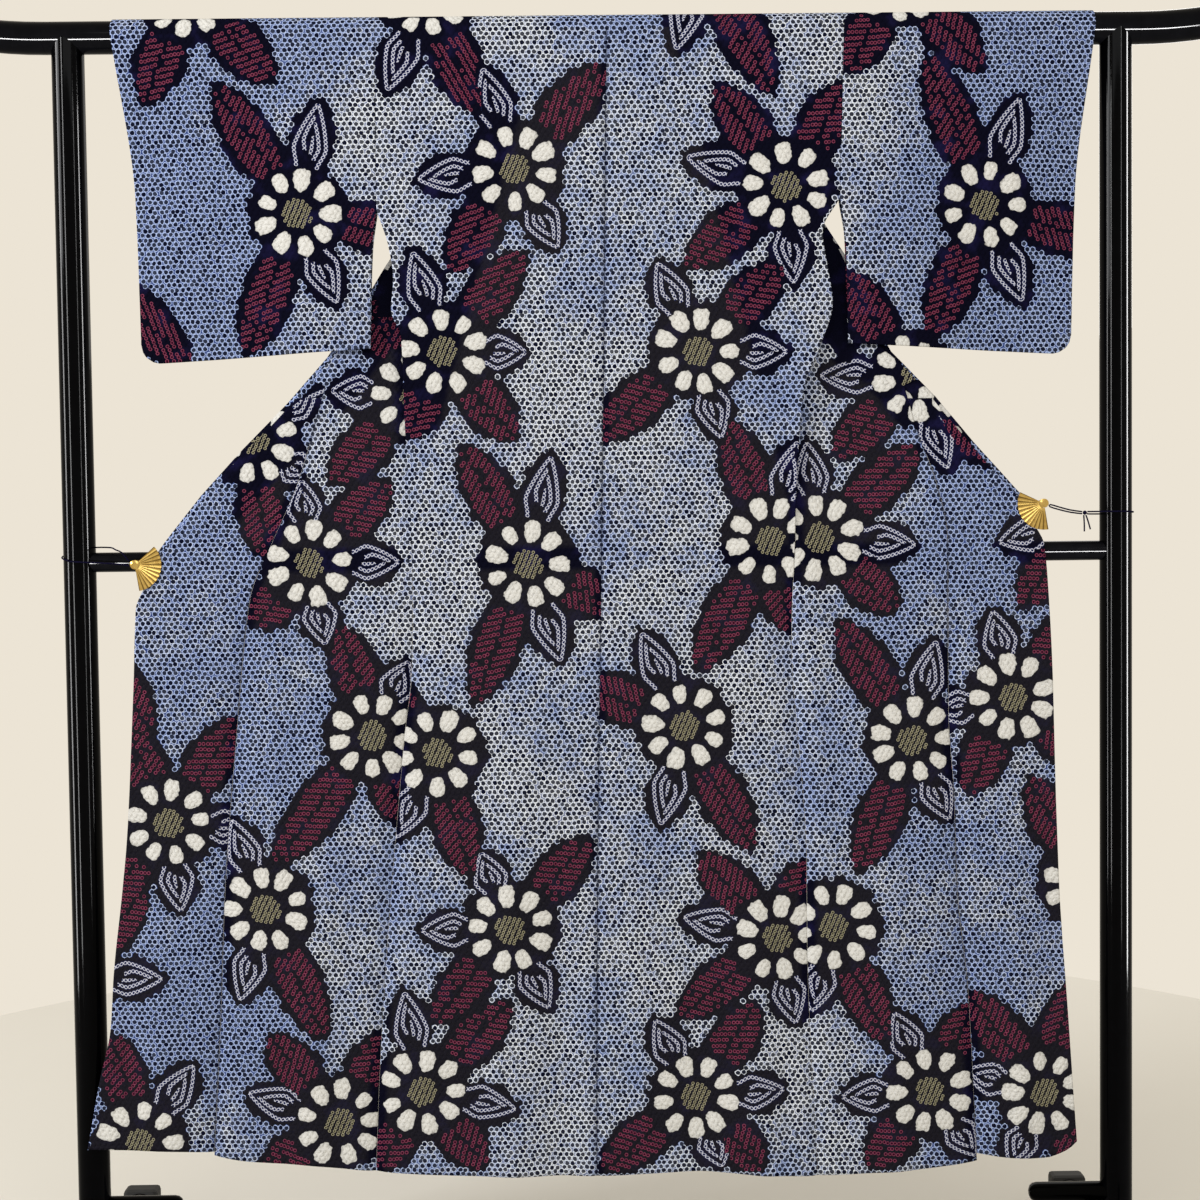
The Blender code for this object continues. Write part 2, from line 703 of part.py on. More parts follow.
def make_rail():
    """A straight tube on the posts, two ends beyond them that curve up, and their caps."""
    tube("rail", [rail_ring(x, RAIL_HEIGHT) for x in (-RAIL_JOINT, RAIL_JOINT)], BLACK_PAINT)
    tip = RAIL_HEIGHT + RAIL_TIP_RISE
    for side in SIDES:
        rings = []
        for t in spread(0, 1, 6):
            x = mix(RAIL_JOINT + GAP, RAIL_HALF_LENGTH, t)
            rings.append(rail_ring(side.sign * x, mix(RAIL_HEIGHT, tip, t**2)))
        tube(f"rail_end_{side.name}", rings, BLACK_PAINT)
        rings = []
        for share, size in ((0.0, 1.0), (0.55, 1.0), (0.85, 0.90), (1.0, 0.70)):
            x = RAIL_HALF_LENGTH + GAP + CAP_LENGTH * share
            rings.append(rail_ring(side.sign * x, tip, size * (TUBE_RADIUS + CAP_LIP)))
        tube(f"rail_cap_{side.name}", rings, RUBBER)


def make_post(side):
    """A post cut to fit the foot, which runs front to back, and the rail, which runs across."""
    x = side.sign * POST_OUT
    low, high = [], []
    for c, s in circle():
        across, deep = TUBE_RADIUS * c, TUBE_RADIUS * s
        low.append((x + across, deep, FOOT_HEIGHT + saddle(across)))
        high.append((x + across, deep, RAIL_HEIGHT - saddle(deep)))
    tube(f"post_{side.name}", [low, high], BLACK_PAINT, ("cos", "sin"))


def make_foot(side):
    """A foot tube from front to back with a rubber pad on each end."""
    x = side.sign * POST_OUT
    rings = []
    for y in (-FOOT_HALF_LENGTH, FOOT_HALF_LENGTH):
        rings.append([(x + TUBE_RADIUS * c, y, FOOT_HEIGHT + TUBE_RADIUS * s) for c, s in circle()])
    tube(f"foot_{side.name}", rings, BLACK_PAINT)
    for end, sign in (("front", -1), ("rear", 1)):
        name = f"pad_{side.name}_{end}"
        mesh = bpy.data.meshes.new(name)
        work = bmesh.new()
        bmesh.ops.create_cube(work, size=1.0)
        bmesh.ops.scale(work, vec=PAD_SIZE, verts=work.verts)
        bmesh.ops.bevel(
            work, geom=work.edges[:], offset=PAD_BEVEL, segments=2, profile=0.5, affect="EDGES"
        )
        place = (x, sign * (FOOT_HALF_LENGTH + GAP + PAD_SIZE[1] / 2), PAD_SIZE[2] / 2)
        bmesh.ops.translate(work, vec=place, verts=work.verts)
        work.to_mesh(mesh)
        work.free()
        add_object(name, mesh, RUBBER)


def bar_ring(x_of, height, size=1.0):
    """A ring of a level bar. x_of gives each point's x from how far it lies off the middle."""
    radius = BAR_RADIUS * size
    return [(x_of(radius * s), radius * s, height + radius * c) for c, s in circle(BAR_SIDES)]


def make_crossbar():
    rings = [
        bar_ring(lambda off: saddle(off) - POST_OUT, BAR_HEIGHT),
        bar_ring(lambda off: POST_OUT - saddle(off), BAR_HEIGHT),
    ]
    tube("crossbar", rings, BLACK_PAINT, ("sin", "sin"))


def make_stub(side):
    """A short bar with a rounded end, low on the inside of each post."""
    rings = [bar_ring(lambda off: side.sign * (POST_OUT - saddle(off)), STUB_HEIGHT)]
    nose = 0.8 * BAR_RADIUS
    for share, size in ((0.0, 1.0), (0.5, 0.92), (0.85, 0.70), (1.0, 0.42)):
        x = side.sign * (STUB_END_OUT + nose * (1 - share))
        rings.append(bar_ring(lambda off: x, STUB_HEIGHT, size))
    tube(f"stub_{side.name}", rings, BLACK_PAINT, ("sin", None))


def clip_y(side):
    """The cloth's near and far faces where the clip holds it."""
    x = side.sign * (side.clip.out - JAW_FROM_TIP)
    near = front_y(x, side.clip.height) - WALL / 2
    far = front_y(x, side.clip.height) + COLLAR_BEHIND + WALL / 2
    return near, far


def fan_points(side, reaches, angles, y_of):
    """Rings of a flat fan round the clip's pin. y_of gives the y from the reach and the step."""
    x, z = side.sign * side.clip.out, side.clip.height
    points = []
    for reach in reaches:
        for i, angle in enumerate(angles):
            turn = math.radians(angle)
            points.append((x + reach * math.cos(turn), y_of(reach, i), z + reach * math.sin(turn)))
    return points


def fan_solid(name, front, back, steps):
    """A plate between two fans of the same layout, each with an inner and an outer ring."""
    n = steps + 1
    faces = []
    for i in range(steps):
        faces.append([i, i + 1, n + i + 1, n + i])
        faces.append([2 * n + i, 2 * n + i + 1, 3 * n + i + 1, 3 * n + i])
        faces.append([i, i + 1, 2 * n + i + 1, 2 * n + i])
        faces.append([n + i, n + i + 1, 3 * n + i + 1, 3 * n + i])
    faces.append([0, n, 3 * n, 2 * n])
    faces.append([steps, n + steps, 3 * n + steps, 2 * n + steps])
    return solid(name, front + back, faces, GOLD)


def make_clip(side):
    """A folding-fan clip: a pleated plate in front, a plain jaw behind, and their pin."""
    clip = side.clip
    x, z = side.sign * clip.out, clip.height
    near, far = clip_y(side)
    plate = near - GAP - FAN_PLEAT_DEPTH / 2
    steps = 2 * FAN_PLEATS
    angles = spread(clip.first_angle, clip.last_angle, steps)

    def pleated(y):
        def y_of(reach, i):
            return y + FAN_PLEAT_DEPTH / 2 * (1 if i % 2 else -1) * reach / FAN_RADIUS

        return fan_points(side, (FAN_HUB, FAN_RADIUS), angles, y_of)

    fan_solid(f"clip_fan_{side.name}", pleated(plate), pleated(plate - FAN_THICK), steps)

    jaw = far + GAP
    steps = 8
    spare = JAW_NARROWER * (clip.last_angle - clip.first_angle)
    angles = spread(clip.first_angle + spare, clip.last_angle - spare, steps)
    layers = [
        fan_points(side, (FAN_HUB, JAW_RADIUS), angles, lambda reach, i: y)
        for y in (jaw, jaw + FAN_THICK)
    ]
    fan_solid(f"clip_jaw_{side.name}", *layers, steps)

    hub = FAN_HUB - GAP
    head = plate - FAN_THICK
    stages = [
        (head - PIN_HEAD, 0.6 * hub),
        (head - PIN_NECK, hub),
        (plate + PIN_SHOULDER, hub),
        (plate + PIN_NECK, PIN_RADIUS),
        (jaw - PIN_SHOULDER, PIN_RADIUS),
        (jaw + PIN_SHOULDER, hub),
        (jaw + FAN_THICK, hub),
    ]
    rings = []
    for y, radius in stages:
        rings.append([(x + radius * c, y, z + radius * s) for c, s in circle(16)])
    tube(f"clip_pin_{side.name}", rings, GOLD)


def smooth_route(places, per_span):
    """Points of a smooth curve through a route's own places."""
    ends = [places[0], *places, places[-1]]
    route = []
    for a, b, c, d in zip(ends, ends[1:], ends[2:], ends[3:]):
        for i in range(per_span):
            t = i / per_span
            point = []
            for k in range(3):
                pull = (c[k] - a[k]) * t
                bend = (2 * a[k] - 5 * b[k] + 4 * c[k] - d[k]) * t**2
                turn = (3 * b[k] - a[k] - 3 * c[k] + d[k]) * t**3
                point.append(b[k] + 0.5 * (pull + bend + turn))
            route.append(tuple(point))
    route.append(tuple(places[-1]))
    return route


def make_cord(name, places, per_span=3):
    curve = bpy.data.curves.new(name, "CURVE")
    curve.dimensions = "3D"
    curve.bevel_depth = CORD_RADIUS
    curve.bevel_resolution = 2
    curve.use_fill_caps = True
    route = smooth_route(places, per_span)
    line = curve.splines.new("POLY")
    line.points.add(len(route) - 1)
    for point, place in zip(line.points, route):
        point.co = (*place, 1.0)
    made = bpy.data.objects.new(name, curve)
    bpy.context.collection.objects.link(made)
    curve.materials.append(material(CORD))
    return made


def round_post(side, first_height, last_height):
    """Places round a post, from its front face over the stand's outside to behind it."""
    reach = TUBE_RADIUS + GAP + CORD_RADIUS + CORD_SLACK
    places = []
    for t in spread(0, 1, WRAP_PLACES):
        turn = math.radians(mix(WRAP_START, WRAP_END, t))
        x = side.sign * (POST_OUT + reach * math.sin(turn))
        places.append((x, -reach * math.cos(turn), mix(first_height, last_height, t)))
    return places


def make_left_cord():
    """One loop from the clip's pin, round the post, over the crossbar and back to the clip."""
    y = CLIP_PLANE - CORD_OFF_CLOTH
    clip = LEFT.clip
    hub_x = -clip.out - FAN_HUB - CORD_RADIUS
    out = [(hub_x, y, clip.height - 0.0015), (-0.655, y + 0.0008, 1.0180)]
    wrap = round_post(LEFT, 1.0215, 1.0405)
    back = [
        (-0.668, -0.0030, 1.0400),
        (-0.656, -0.0220, 1.0370),
        (-0.646, y, 1.0330),
        (hub_x - 0.0004, y, clip.height + 0.0050),
    ]
    make_cord("cord_left", out + wrap + back)


def make_right_cord():
    """A loop round the post and one round the clip's pin meet in a knot with two short tails."""
    y = CLIP_PLANE - CORD_OFF_CLOTH
    clip = RIGHT.clip
    knot_x, knot_z = KNOT_PLACE
    upper, lower = knot_z + CORD_APART, knot_z - CORD_APART
    hub_x = clip.out + FAN_HUB + CORD_RADIUS + GAP
    beside_knot = KNOT_RADIUS + GAP + CORD_RADIUS / 2
    link = [
        (knot_x - beside_knot, y, upper),
        (0.6400, y, 1.0755),
        (0.6240, y, 1.0800),
        (hub_x + 0.0008, y, clip.height - 0.0020),
        (hub_x, y, clip.height - 0.0048),
        (0.6250, y, 1.0762),
        (0.6410, y, 1.0722),
        (knot_x - beside_knot, y, lower),
    ]
    make_cord("cord_right_link", link, 2)
    out = [(knot_x + beside_knot, y, upper)]
    wrap = round_post(RIGHT, upper, lower)
    back = [(0.676, 0.0040, lower), (knot_x + beside_knot, y + 0.0006, lower)]
    make_cord("cord_right_loop", out + wrap + back)

    tail_top = knot_z - KNOT_RADIUS - GAP
    for name, top_x, foot_x, foot_z in (
        ("cord_tail_inner", knot_x - 0.0015, 0.6598, 1.0460),
        ("cord_tail_outer", knot_x + 0.0015, 0.6680, 1.0489),
    ):
        middle = (mix(top_x, foot_x, 0.5), y - CORD_RADIUS, mix(tail_top, foot_z, 0.5))
        make_cord(name, [(top_x, y, tail_top), middle, (foot_x, y, foot_z)], 4)

    mesh = bpy.data.meshes.new("cord_knot")
    work = bmesh.new()
    bmesh.ops.create_uvsphere(work, u_segments=12, v_segments=8, radius=KNOT_RADIUS)
    bmesh.ops.translate(work, vec=(knot_x, y, knot_z), verts=work.verts)
    work.to_mesh(mesh)
    work.free()
    add_object("cord_knot", mesh, CORD)


def main():
    clear_scene()
    make_rail()
    for side in SIDES:
        make_post(side)
        make_foot(side)
        make_stub(side)
    make_crossbar()
    for side in SIDES:
        make_body(side)
        make_sleeve(side)
        make_okumi(side)
        make_clip(side)
    make_collar()
    make_left_cord()
    make_right_cord()


main()
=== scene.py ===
"""The looks of a woman's cotton yukata, hung with its fronts turned outwards on a two-post stand.

Metres, +Z up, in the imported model's own frame: the back of the garment faces -Y, its left side
lies towards -X. Each cloth solid is replaced by a fine shell on the same form, with small creases.
The tie-dyed pattern is drawn by the cloth's material from tables of flowers and leaves.
"""

import math
from collections import defaultdict, namedtuple
from functools import partial, partialmethod

import bmesh
import bpy
from mathutils import Matrix, Vector, noise


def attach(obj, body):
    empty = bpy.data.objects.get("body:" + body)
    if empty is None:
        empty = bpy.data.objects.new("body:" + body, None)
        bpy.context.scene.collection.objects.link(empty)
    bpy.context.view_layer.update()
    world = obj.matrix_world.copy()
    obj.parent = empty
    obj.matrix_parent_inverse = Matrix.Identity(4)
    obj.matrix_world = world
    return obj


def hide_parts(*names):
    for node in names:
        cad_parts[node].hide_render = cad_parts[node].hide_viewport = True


# Stand
RAIL_HEIGHT = 1.730
TUBE_RADIUS = 0.0215
POST_OUT = 0.7115
BAR_RADIUS = 0.0135
BAR_HEIGHT = 1.020
STUB_HEIGHT = 0.125
FOOT_HEIGHT = 0.033
FAN_PLEATS = 12
RAIL_BEND_START = 0.740
RAIL_BEND = 0.733

# Cloth solids, as the model has them
WALL = 0.0012
GAP = 0.0003
RAIL_STEP = 22.5
OVER_RAIL = (TUBE_RADIUS + GAP + WALL / 2) / math.cos(math.radians(RAIL_STEP / 2))
LAYER = WALL + GAP
FOLD_WIDTH = 0.003
COLLAR_WIDTH = 0.060
COLLAR_PEEP = 0.007
COLLAR_BEHIND = 0.0021
COLLAR_FIRST_ROW = 0.014
COLLAR_TURN = 0.52
COLLAR_TURN_LENGTH = 0.14
SEAM_ALLOWANCE = 0.010
OKUMI_START = 0.022
EDGE_EASE = 0.05
TURN_HEIGHT = 1.10
UNDERARM = 0.13
NECK_CLEAR = 0.0012
SWAY = 0.0036
SWAY_HEIGHT = 0.63
ROW_STEP = 0.062
CLOSEST_ROWS = 0.012
LAST_LEVEL = 0.30
ROWS_TO_HEM = 3

# The shown shells
SHELL = 0.0008
FINER = 8
FINE_TURN = 7.5
FINE_STEP = 0.0078
TUCK = 0.0002
SEAM_SHADE_WIDTH = 0.0018
SEAM_ROLL = 0.0016
SEAM_ROLL_WIDTH = 0.0045
EDGE_COLUMNS = (0.0022, 0.0052)
LEAST_STEP = 0.002
FRONT_WIDTH = 0.20
OKUMI_WIDTH = 0.14
COLLAR_COLUMNS = 10
NECK_STEPS = 6
SLEEVE_ROWS = 56
SLEEVE_END_STEPS = 6

Clip = namedtuple("Clip", "out height first_angle last_angle")

Side = namedtuple(
    "Side",
    "name sign neck armhole armhole_height side_edge okumi_top okumi_seam collar_edge "
    "corner_height free_edge sleeve_inner sleeve_outer clip",
)


def clamp(t):
    return min(max(t, 0.0), 1.0)


def smooth(t):
    t = clamp(t)
    return t * t * (3 - 2 * t)


def mix(a, b, t):
    return a + (b - a) * t


def bump(distance, width):
    return math.exp(-((distance / width) ** 2))


def spread(first, last, count):
    return [mix(first, last, i / count) for i in range(count + 1)]


class Line:
    """The smooth line through a table of pairs, which never swings past them."""

    def __init__(self, *rows):
        rows = sorted(rows)
        self.xs = [row[0] for row in rows]
        self.ys = [row[1] for row in rows]
        rises = []
        for i in range(len(rows) - 1):
            rises.append((self.ys[i + 1] - self.ys[i]) / (self.xs[i + 1] - self.xs[i]))
        self.slopes = [rises[0]]
        for before, after in zip(rises, rises[1:]):
            flat = before * after <= 0
            self.slopes.append(0.0 if flat else 2 * before * after / (before + after))
        self.slopes.append(rises[-1])

    def __call__(self, at):
        xs, ys = self.xs, self.ys
        if at <= xs[0]:
            return ys[0]
        if at >= xs[-1]:
            return ys[-1]
        i = max(k for k in range(len(xs) - 1) if xs[k] <= at)
        width = xs[i + 1] - xs[i]
        t = (at - xs[i]) / width
        start = (1 + 2 * t) * (1 - t) ** 2 * ys[i] + t * (1 - t) ** 2 * width * self.slopes[i]
        end = t * t * (3 - 2 * t) * ys[i + 1] + t * t * (t - 1) * width * self.slopes[i + 1]
        return start + end


# Each edge of the cloth: height above the floor, distance out from the middle.
CENTRE_SEAM = Line((1.76, 0.019), (1.36, 0.011), (0.95, 0.0015), (0.55, -0.008), (0.15, -0.0137))

LEFT = Side(
    name="left",
    sign=-1,
    neck=0.071,
    armhole=Line((1.76, 0.2925), (1.49, 0.2945)),
    armhole_height=1.49,
    side_edge=Line(
        (1.49, 0.2945), (1.44, 0.2790), (1.40, 0.2735), (1.355, 0.2770), (1.32, 0.2640),
        (1.19, 0.2605), (1.10, 0.2553), (1.00, 0.2533), (0.87, 0.2570), (0.775, 0.2690),
        (0.335, 0.3090), (0.15, 0.3190),
    ),
    okumi_top=1.262,
    okumi_seam=Line(
        (1.27, 0.3660), (1.125, 0.4077), (1.04, 0.4450), (0.97, 0.4740), (0.79, 0.4965),
        (0.555, 0.5180), (0.405, 0.5260), (0.15, 0.5430),
    ),
    collar_edge=Line(
        (1.73, 0.0710), (1.4325, 0.2786), (1.306, 0.3590), (1.212, 0.4410), (1.158, 0.4950),
        (1.097, 0.5490), (1.044, 0.5905), (1.006, 0.6180),
    ),
    corner_height=1.006,
    free_edge=Line(
        (1.006, 0.6180), (0.985, 0.6270), (0.85, 0.6346), (0.65, 0.6476), (0.58, 0.6550),
        (0.46, 0.6700), (0.38, 0.6765), (0.31, 0.6930), (0.20, 0.7145),
    ),
    sleeve_inner=Line((1.49, 0.2945), (1.44, 0.3010), (1.30, 0.3070)),
    sleeve_outer=Line((1.76, 0.6510), (1.50, 0.6235), (1.28, 0.6200)),
    clip=Clip(out=0.6290, height=1.0165, first_angle=42, last_angle=-81),
)

RIGHT = Side(
    name="right",
    sign=1,
    neck=0.109,
    armhole=Line((1.76, 0.3390), (1.50, 0.3310)),
    armhole_height=1.50,
    side_edge=Line(
        (1.50, 0.3310), (1.455, 0.3070), (1.41, 0.3130), (1.36, 0.3200), (1.30, 0.3020),
        (1.245, 0.2800), (1.10, 0.2680), (1.04, 0.2660), (0.91, 0.2610), (0.60, 0.2790),
        (0.50, 0.2790), (0.15, 0.2920),
    ),
    okumi_top=1.252,
    okumi_seam=Line(
        (1.26, 0.4150), (1.18, 0.4370), (1.12, 0.4580), (1.04, 0.4740), (0.80, 0.4750),
        (0.69, 0.4820), (0.56, 0.4860), (0.42, 0.5000), (0.15, 0.5130),
    ),
    collar_edge=Line(
        (1.73, 0.1090), (1.474, 0.3140), (1.436, 0.3400), (1.307, 0.3920), (1.268, 0.4310),
        (1.2005, 0.4860), (1.137, 0.5385), (1.105, 0.5680), (1.078, 0.5930),
    ),
    corner_height=1.078,
    free_edge=Line(
        (1.078, 0.5930), (1.05, 0.6030), (0.98, 0.6100), (0.85, 0.6165), (0.745, 0.6190),
        (0.56, 0.6250), (0.38, 0.6370), (0.20, 0.6490),
    ),
    sleeve_inner=Line((1.50, 0.3310), (1.45, 0.3380), (1.30, 0.3420)),
    sleeve_outer=Line((1.76, 0.6805), (1.50, 0.6550), (1.28, 0.6490)),
    clip=Clip(out=0.6050, height=1.0850, first_angle=155, last_angle=279),
)

SIDES = (LEFT, RIGHT)

# Height of the hem, by distance across from the middle.
BODY_HEM = Line(
    (-0.545, 0.2040), (-0.494, 0.1954), (-0.396, 0.1885), (-0.315, 0.1777), (-0.161, 0.1699),
    (-0.011, 0.1677), (0.112, 0.1713), (0.278, 0.1633), (0.427, 0.1706), (0.515, 0.1800),
)
OKUMI_HEM = Line(
    (-0.715, 0.2150), (-0.605, 0.2120), (-0.540, 0.2080), (0.508, 0.1900), (0.555, 0.1852),
    (0.604, 0.1844), (0.634, 0.1936), (0.650, 0.2071),
)

# The fall of a fold: depth is away from the viewer, and it grows from top to full.
Wave = namedtuple("Wave", "top full out_top out_low depth width")
WAVES = [Wave(*row) for row in (
    (1.46, 1.25, 0.300, 0.286, -0.0030, 0.020),
    (1.00, 0.45, -0.080, -0.130, -0.0050, 0.030),
    (0.80, 0.30, -0.040, -0.060, 0.0040, 0.024),
    (0.95, 0.35, 0.080, 0.130, 0.0040, 0.032),
    (0.95, 0.35, 0.180, 0.215, -0.0050, 0.028),
    (0.90, 0.35, -0.350, -0.400, -0.0045, 0.030),
    (0.90, 0.35, 0.370, 0.400, -0.0045, 0.030),
    (0.80, 0.30, -0.580, -0.610, -0.0040, 0.028),
    (0.85, 0.30, 0.545, 0.575, -0.0050, 0.024),
)]
SIDE_VALLEY = 0.0045
OKUMI_VALLEY = 0.0035
VALLEY_WIDTH = 0.018
VALLEY_TOP = 1.08
VALLEY_FULL = 0.80

# Small creases of the shown cloth, each a soft trough or ridge along a straight line.
Crease = namedtuple("Crease", "x1 z1 x2 z2 depth width")
CREASES = [Crease(*row) for row in (
    (-0.25, 1.028, 0.25, 1.022, -0.0012, 0.008),
    (0.262, 1.45, 0.270, 0.92, -0.0014, 0.007),
    (-0.10, 0.62, -0.14, 0.20, 0.0012, 0.010),
    (-0.20, 0.70, -0.25, 0.19, -0.0013, 0.012),
    (0.03, 0.66, 0.06, 0.19, -0.0012, 0.011),
    (0.16, 0.58, 0.17, 0.18, 0.0011, 0.009),
    (0.23, 0.74, 0.25, 0.20, 0.0010, 0.010),
    (-0.33, 0.84, -0.36, 0.22, 0.0011, 0.009),
    (-0.44, 0.90, -0.47, 0.22, -0.0014, 0.012),
    (-0.63, 0.80, -0.66, 0.24, 0.0010, 0.009),
    (0.33, 0.80, 0.34, 0.20, 0.0012, 0.009),
    (0.44, 0.86, 0.45, 0.20, -0.0013, 0.011),
    (0.60, 0.88, 0.62, 0.24, 0.0010, 0.009),
    (-0.06, 1.66, -0.17, 1.50, -0.0010, 0.010),
    (0.12, 1.64, 0.21, 1.47, 0.0010, 0.010),
    (-0.52, 0.98, -0.62, 1.012, -0.0010, 0.008),
    (0.50, 1.06, 0.585, 1.080, -0.0010, 0.008),
)]
# How far past its ends a crease runs, and how slowly it starts and ends, in its own lengths.
CREASE_PAST, CREASE_START, CREASE_END = 0.1, 0.35, 0.25

# Scale and height of the cloth's small unevenness.
PUCKERS = ((38.0, 0.00055), (75.0, 0.00035))
PUCKER_STRETCH = 0.4
PUCKER_TOP = RAIL_HEIGHT - 0.030
PUCKER_FADE = 0.07

LIFT_AT_RAIL = 0.0478
SIDE_LIFT = Line((0.97, 0.0), (1.03, 0.0012), (1.10, 0.0062), (1.73, LIFT_AT_RAIL))
CLIP_LIFT = 0.0008
CLIP_LIFT_START = 0.06
CLIP_PLANE = -0.0252
CLIP_FLAT = 0.045
CLIP_FADE = 0.070

SLEEVE_BOTTOM_OUTER = 1.289
SLEEVE_BOTTOM_INNER = 1.306
SLEEVE_LOW = 1.28
SLEEVE_CORNER = 0.027
SLEEVE_END_GAP = 0.0032
SLEEVE_FORWARD = -0.0145
SLEEVE_LOOSE = 0.16
SLEEVE_TAPER = 0.9
BODY_SHARE = 0.20
CUFF_SHARE = 0.70
SLEEVE_FLAT = 0.92
CUFF_LENGTH = 0.23
CUFF_SHUT = 0.0016

# A point of cloth: its place, and where it is on the flat cloth. single is 1 where one layer
# hangs alone, so that light comes through its dark parts.
Spot = namedtuple("Spot", "x y z across down single")


def levels(top, bottom=LAST_LEVEL):
    count = FINER * round((RAIL_HEIGHT - LAST_LEVEL) / ROW_STEP)
    every = spread(RAIL_HEIGHT, LAST_LEVEL, count)
    return [height for height in every if bottom - 1e-6 <= height <= top + 1e-6]


def side_out(side, z):
    return side.armhole(z) if z > side.armhole_height else side.side_edge(z)


def sleeve_in(side, z):
    return side.armhole(z) if z > side.armhole_height else side.sleeve_inner(z)


def puckers(x, z):
    """The crepe's own small unevenness, which dies out towards the rail."""
    total = 0.0
    for scale, height in PUCKERS:
        total += height * noise.noise((x * scale, PUCKER_STRETCH * scale * z, scale))
    return total * smooth((PUCKER_TOP - z) / PUCKER_FADE)


def creases(x, z):
    total = 0.0
    for crease in CREASES:
        run_x, run_z = crease.x2 - crease.x1, crease.z2 - crease.z1
        length = math.hypot(run_x, run_z)
        along = ((x - crease.x1) * run_x + (z - crease.z1) * run_z) / length**2
        if -CREASE_PAST < along < 1 + CREASE_PAST:
            aside = ((x - crease.x1) * run_z - (z - crease.z1) * run_x) / length
            start = smooth((along + CREASE_PAST) / CREASE_START)
            end = smooth((1 + CREASE_PAST - along) / CREASE_END)
            total += crease.depth * (start * end) * bump(aside, crease.width)
    return total


def hanging(x, z):
    """The y of the sheet that faces the viewer."""
    y = -OVER_RAIL - SWAY * smooth((RAIL_HEIGHT - z) / SWAY_HEIGHT)
    for wave in WAVES:
        grown = smooth((wave.top - z) / (wave.top - wave.full))
        middle = mix(wave.out_top, wave.out_low, grown)
        y += wave.depth * grown * bump(x - middle, wave.width)
    deep = smooth((VALLEY_TOP - z) / (VALLEY_TOP - VALLEY_FULL))
    rolled = smooth((PUCKER_TOP - z) / PUCKER_FADE)
    for side in SIDES:
        out = side.sign * x
        from_side = out - side_out(side, z)
        from_okumi = out - side.okumi_seam(z)
        y += SIDE_VALLEY * deep * bump(from_side, VALLEY_WIDTH)
        y += OKUMI_VALLEY * deep * bump(from_okumi, VALLEY_WIDTH)
        y += SEAM_ROLL * deep * bump(from_side, SEAM_ROLL_WIDTH)
        if z < side.okumi_top:
            y += SEAM_ROLL * deep * bump(from_okumi, SEAM_ROLL_WIDTH)
    y += SEAM_ROLL * rolled * bump(x - CENTRE_SEAM(z), SEAM_ROLL_WIDTH)
    return y + puckers(x, z) + creases(x, z)


AT_CLIP = {}
for each in SIDES:
    AT_CLIP[each.name] = Line(
        (each.clip.height - CLIP_LIFT_START, 0.0),
        (each.clip.height, CLIP_LIFT),
        (RAIL_HEIGHT, LIFT_AT_RAIL),
    )


def lift(side, out, z):
    """How far the turned-out front lies behind the back panel."""
    seam = side_out(side, z)
    outer = AT_CLIP[side.name](z)
    return mix(SIDE_LIFT(z), outer, smooth((out - seam) / (side.clip.out - seam)))


def front_y(x, z):
    """The y of the front that is turned out. It lies flat where a clip holds it."""
    side = SIDES[x > 0]
    clip = side.clip
    y = hanging(x, z) + lift(side, abs(x), z)
    away = math.hypot(abs(x) - clip.out, z - clip.height)
    return mix(CLIP_PLANE, y, smooth((away - CLIP_FLAT) / CLIP_FADE))


def side_gap(side, z):
    t = (RAIL_HEIGHT - z) / (RAIL_HEIGHT - side.armhole_height + UNDERARM)
    return mix(2 * OVER_RAIL, LAYER, clamp(t))


def fold_out(side, z):
    t = (RAIL_HEIGHT - z) / (RAIL_HEIGHT - TURN_HEIGHT)
    return mix(side.neck, side_out(side, TURN_HEIGHT) - SEAM_ALLOWANCE, t)


# Where cloth lies behind cloth: how wide the seams' turned edges are, and how softly they end.
CENTRE_ALLOWANCE = 0.6 * SEAM_ALLOWANCE
OKUMI_ALLOWANCE = 0.8 * SEAM_ALLOWANCE
BACKED_SOFT = 0.004
FOLD_SOFT = 0.006
COLLAR_SOFT = 0.005
SLOPE_STEP = 0.01


def out_of_bar_shadow(z):
    """0 where the crossbar lies behind the cloth and its painted shadow falls, so that no light is
    painted through there, and 1 away from it.
    """
    return smooth((abs(z - BAR_HEIGHT) - BAR_RADIUS) / BACKED_SOFT)


def back_single(side, x, z):
    """1 where the back hangs alone, 0 where something lies behind, and below 0 at its seams, where
    painted shade falls.
    """
    out = side.sign * x
    inside = 1.0 if z < TURN_HEIGHT else smooth((fold_out(side, z) - out) / FOLD_SOFT)
    seam = smooth((side_out(side, z) - out - SEAM_ALLOWANCE) / BACKED_SOFT)
    centre = smooth((abs(x - CENTRE_SEAM(z)) - CENTRE_ALLOWANCE) / BACKED_SOFT)
    seam_shade = bump(x - CENTRE_SEAM(z), SEAM_SHADE_WIDTH)
    return inside * centre * seam * out_of_bar_shadow(z) - seam_shade


def front_single(side, x, z):
    out = side.sign * x
    single = out_of_bar_shadow(z)
    seam_shade = 0.0
    if z > side.corner_height:
        rise = side.collar_edge(z - SLOPE_STEP) - side.collar_edge(z + SLOPE_STEP)
        slope = rise / (2 * SLOPE_STEP)
        away = (side.collar_edge(z) - out) / math.hypot(1.0, slope)
        single *= smooth((away - COLLAR_WIDTH) / COLLAR_SOFT)
    seam = abs(out - side.okumi_seam(z))
    if z < side.okumi_top:
        single *= smooth((seam - OKUMI_ALLOWANCE) / BACKED_SOFT)
        # Painted shade along the okumi seam.
        seam_shade = 0.8 * bump(seam, SEAM_SHADE_WIDTH)
    return single * smooth((out - side_out(side, z) - SEAM_ALLOWANCE) / BACKED_SOFT) - seam_shade


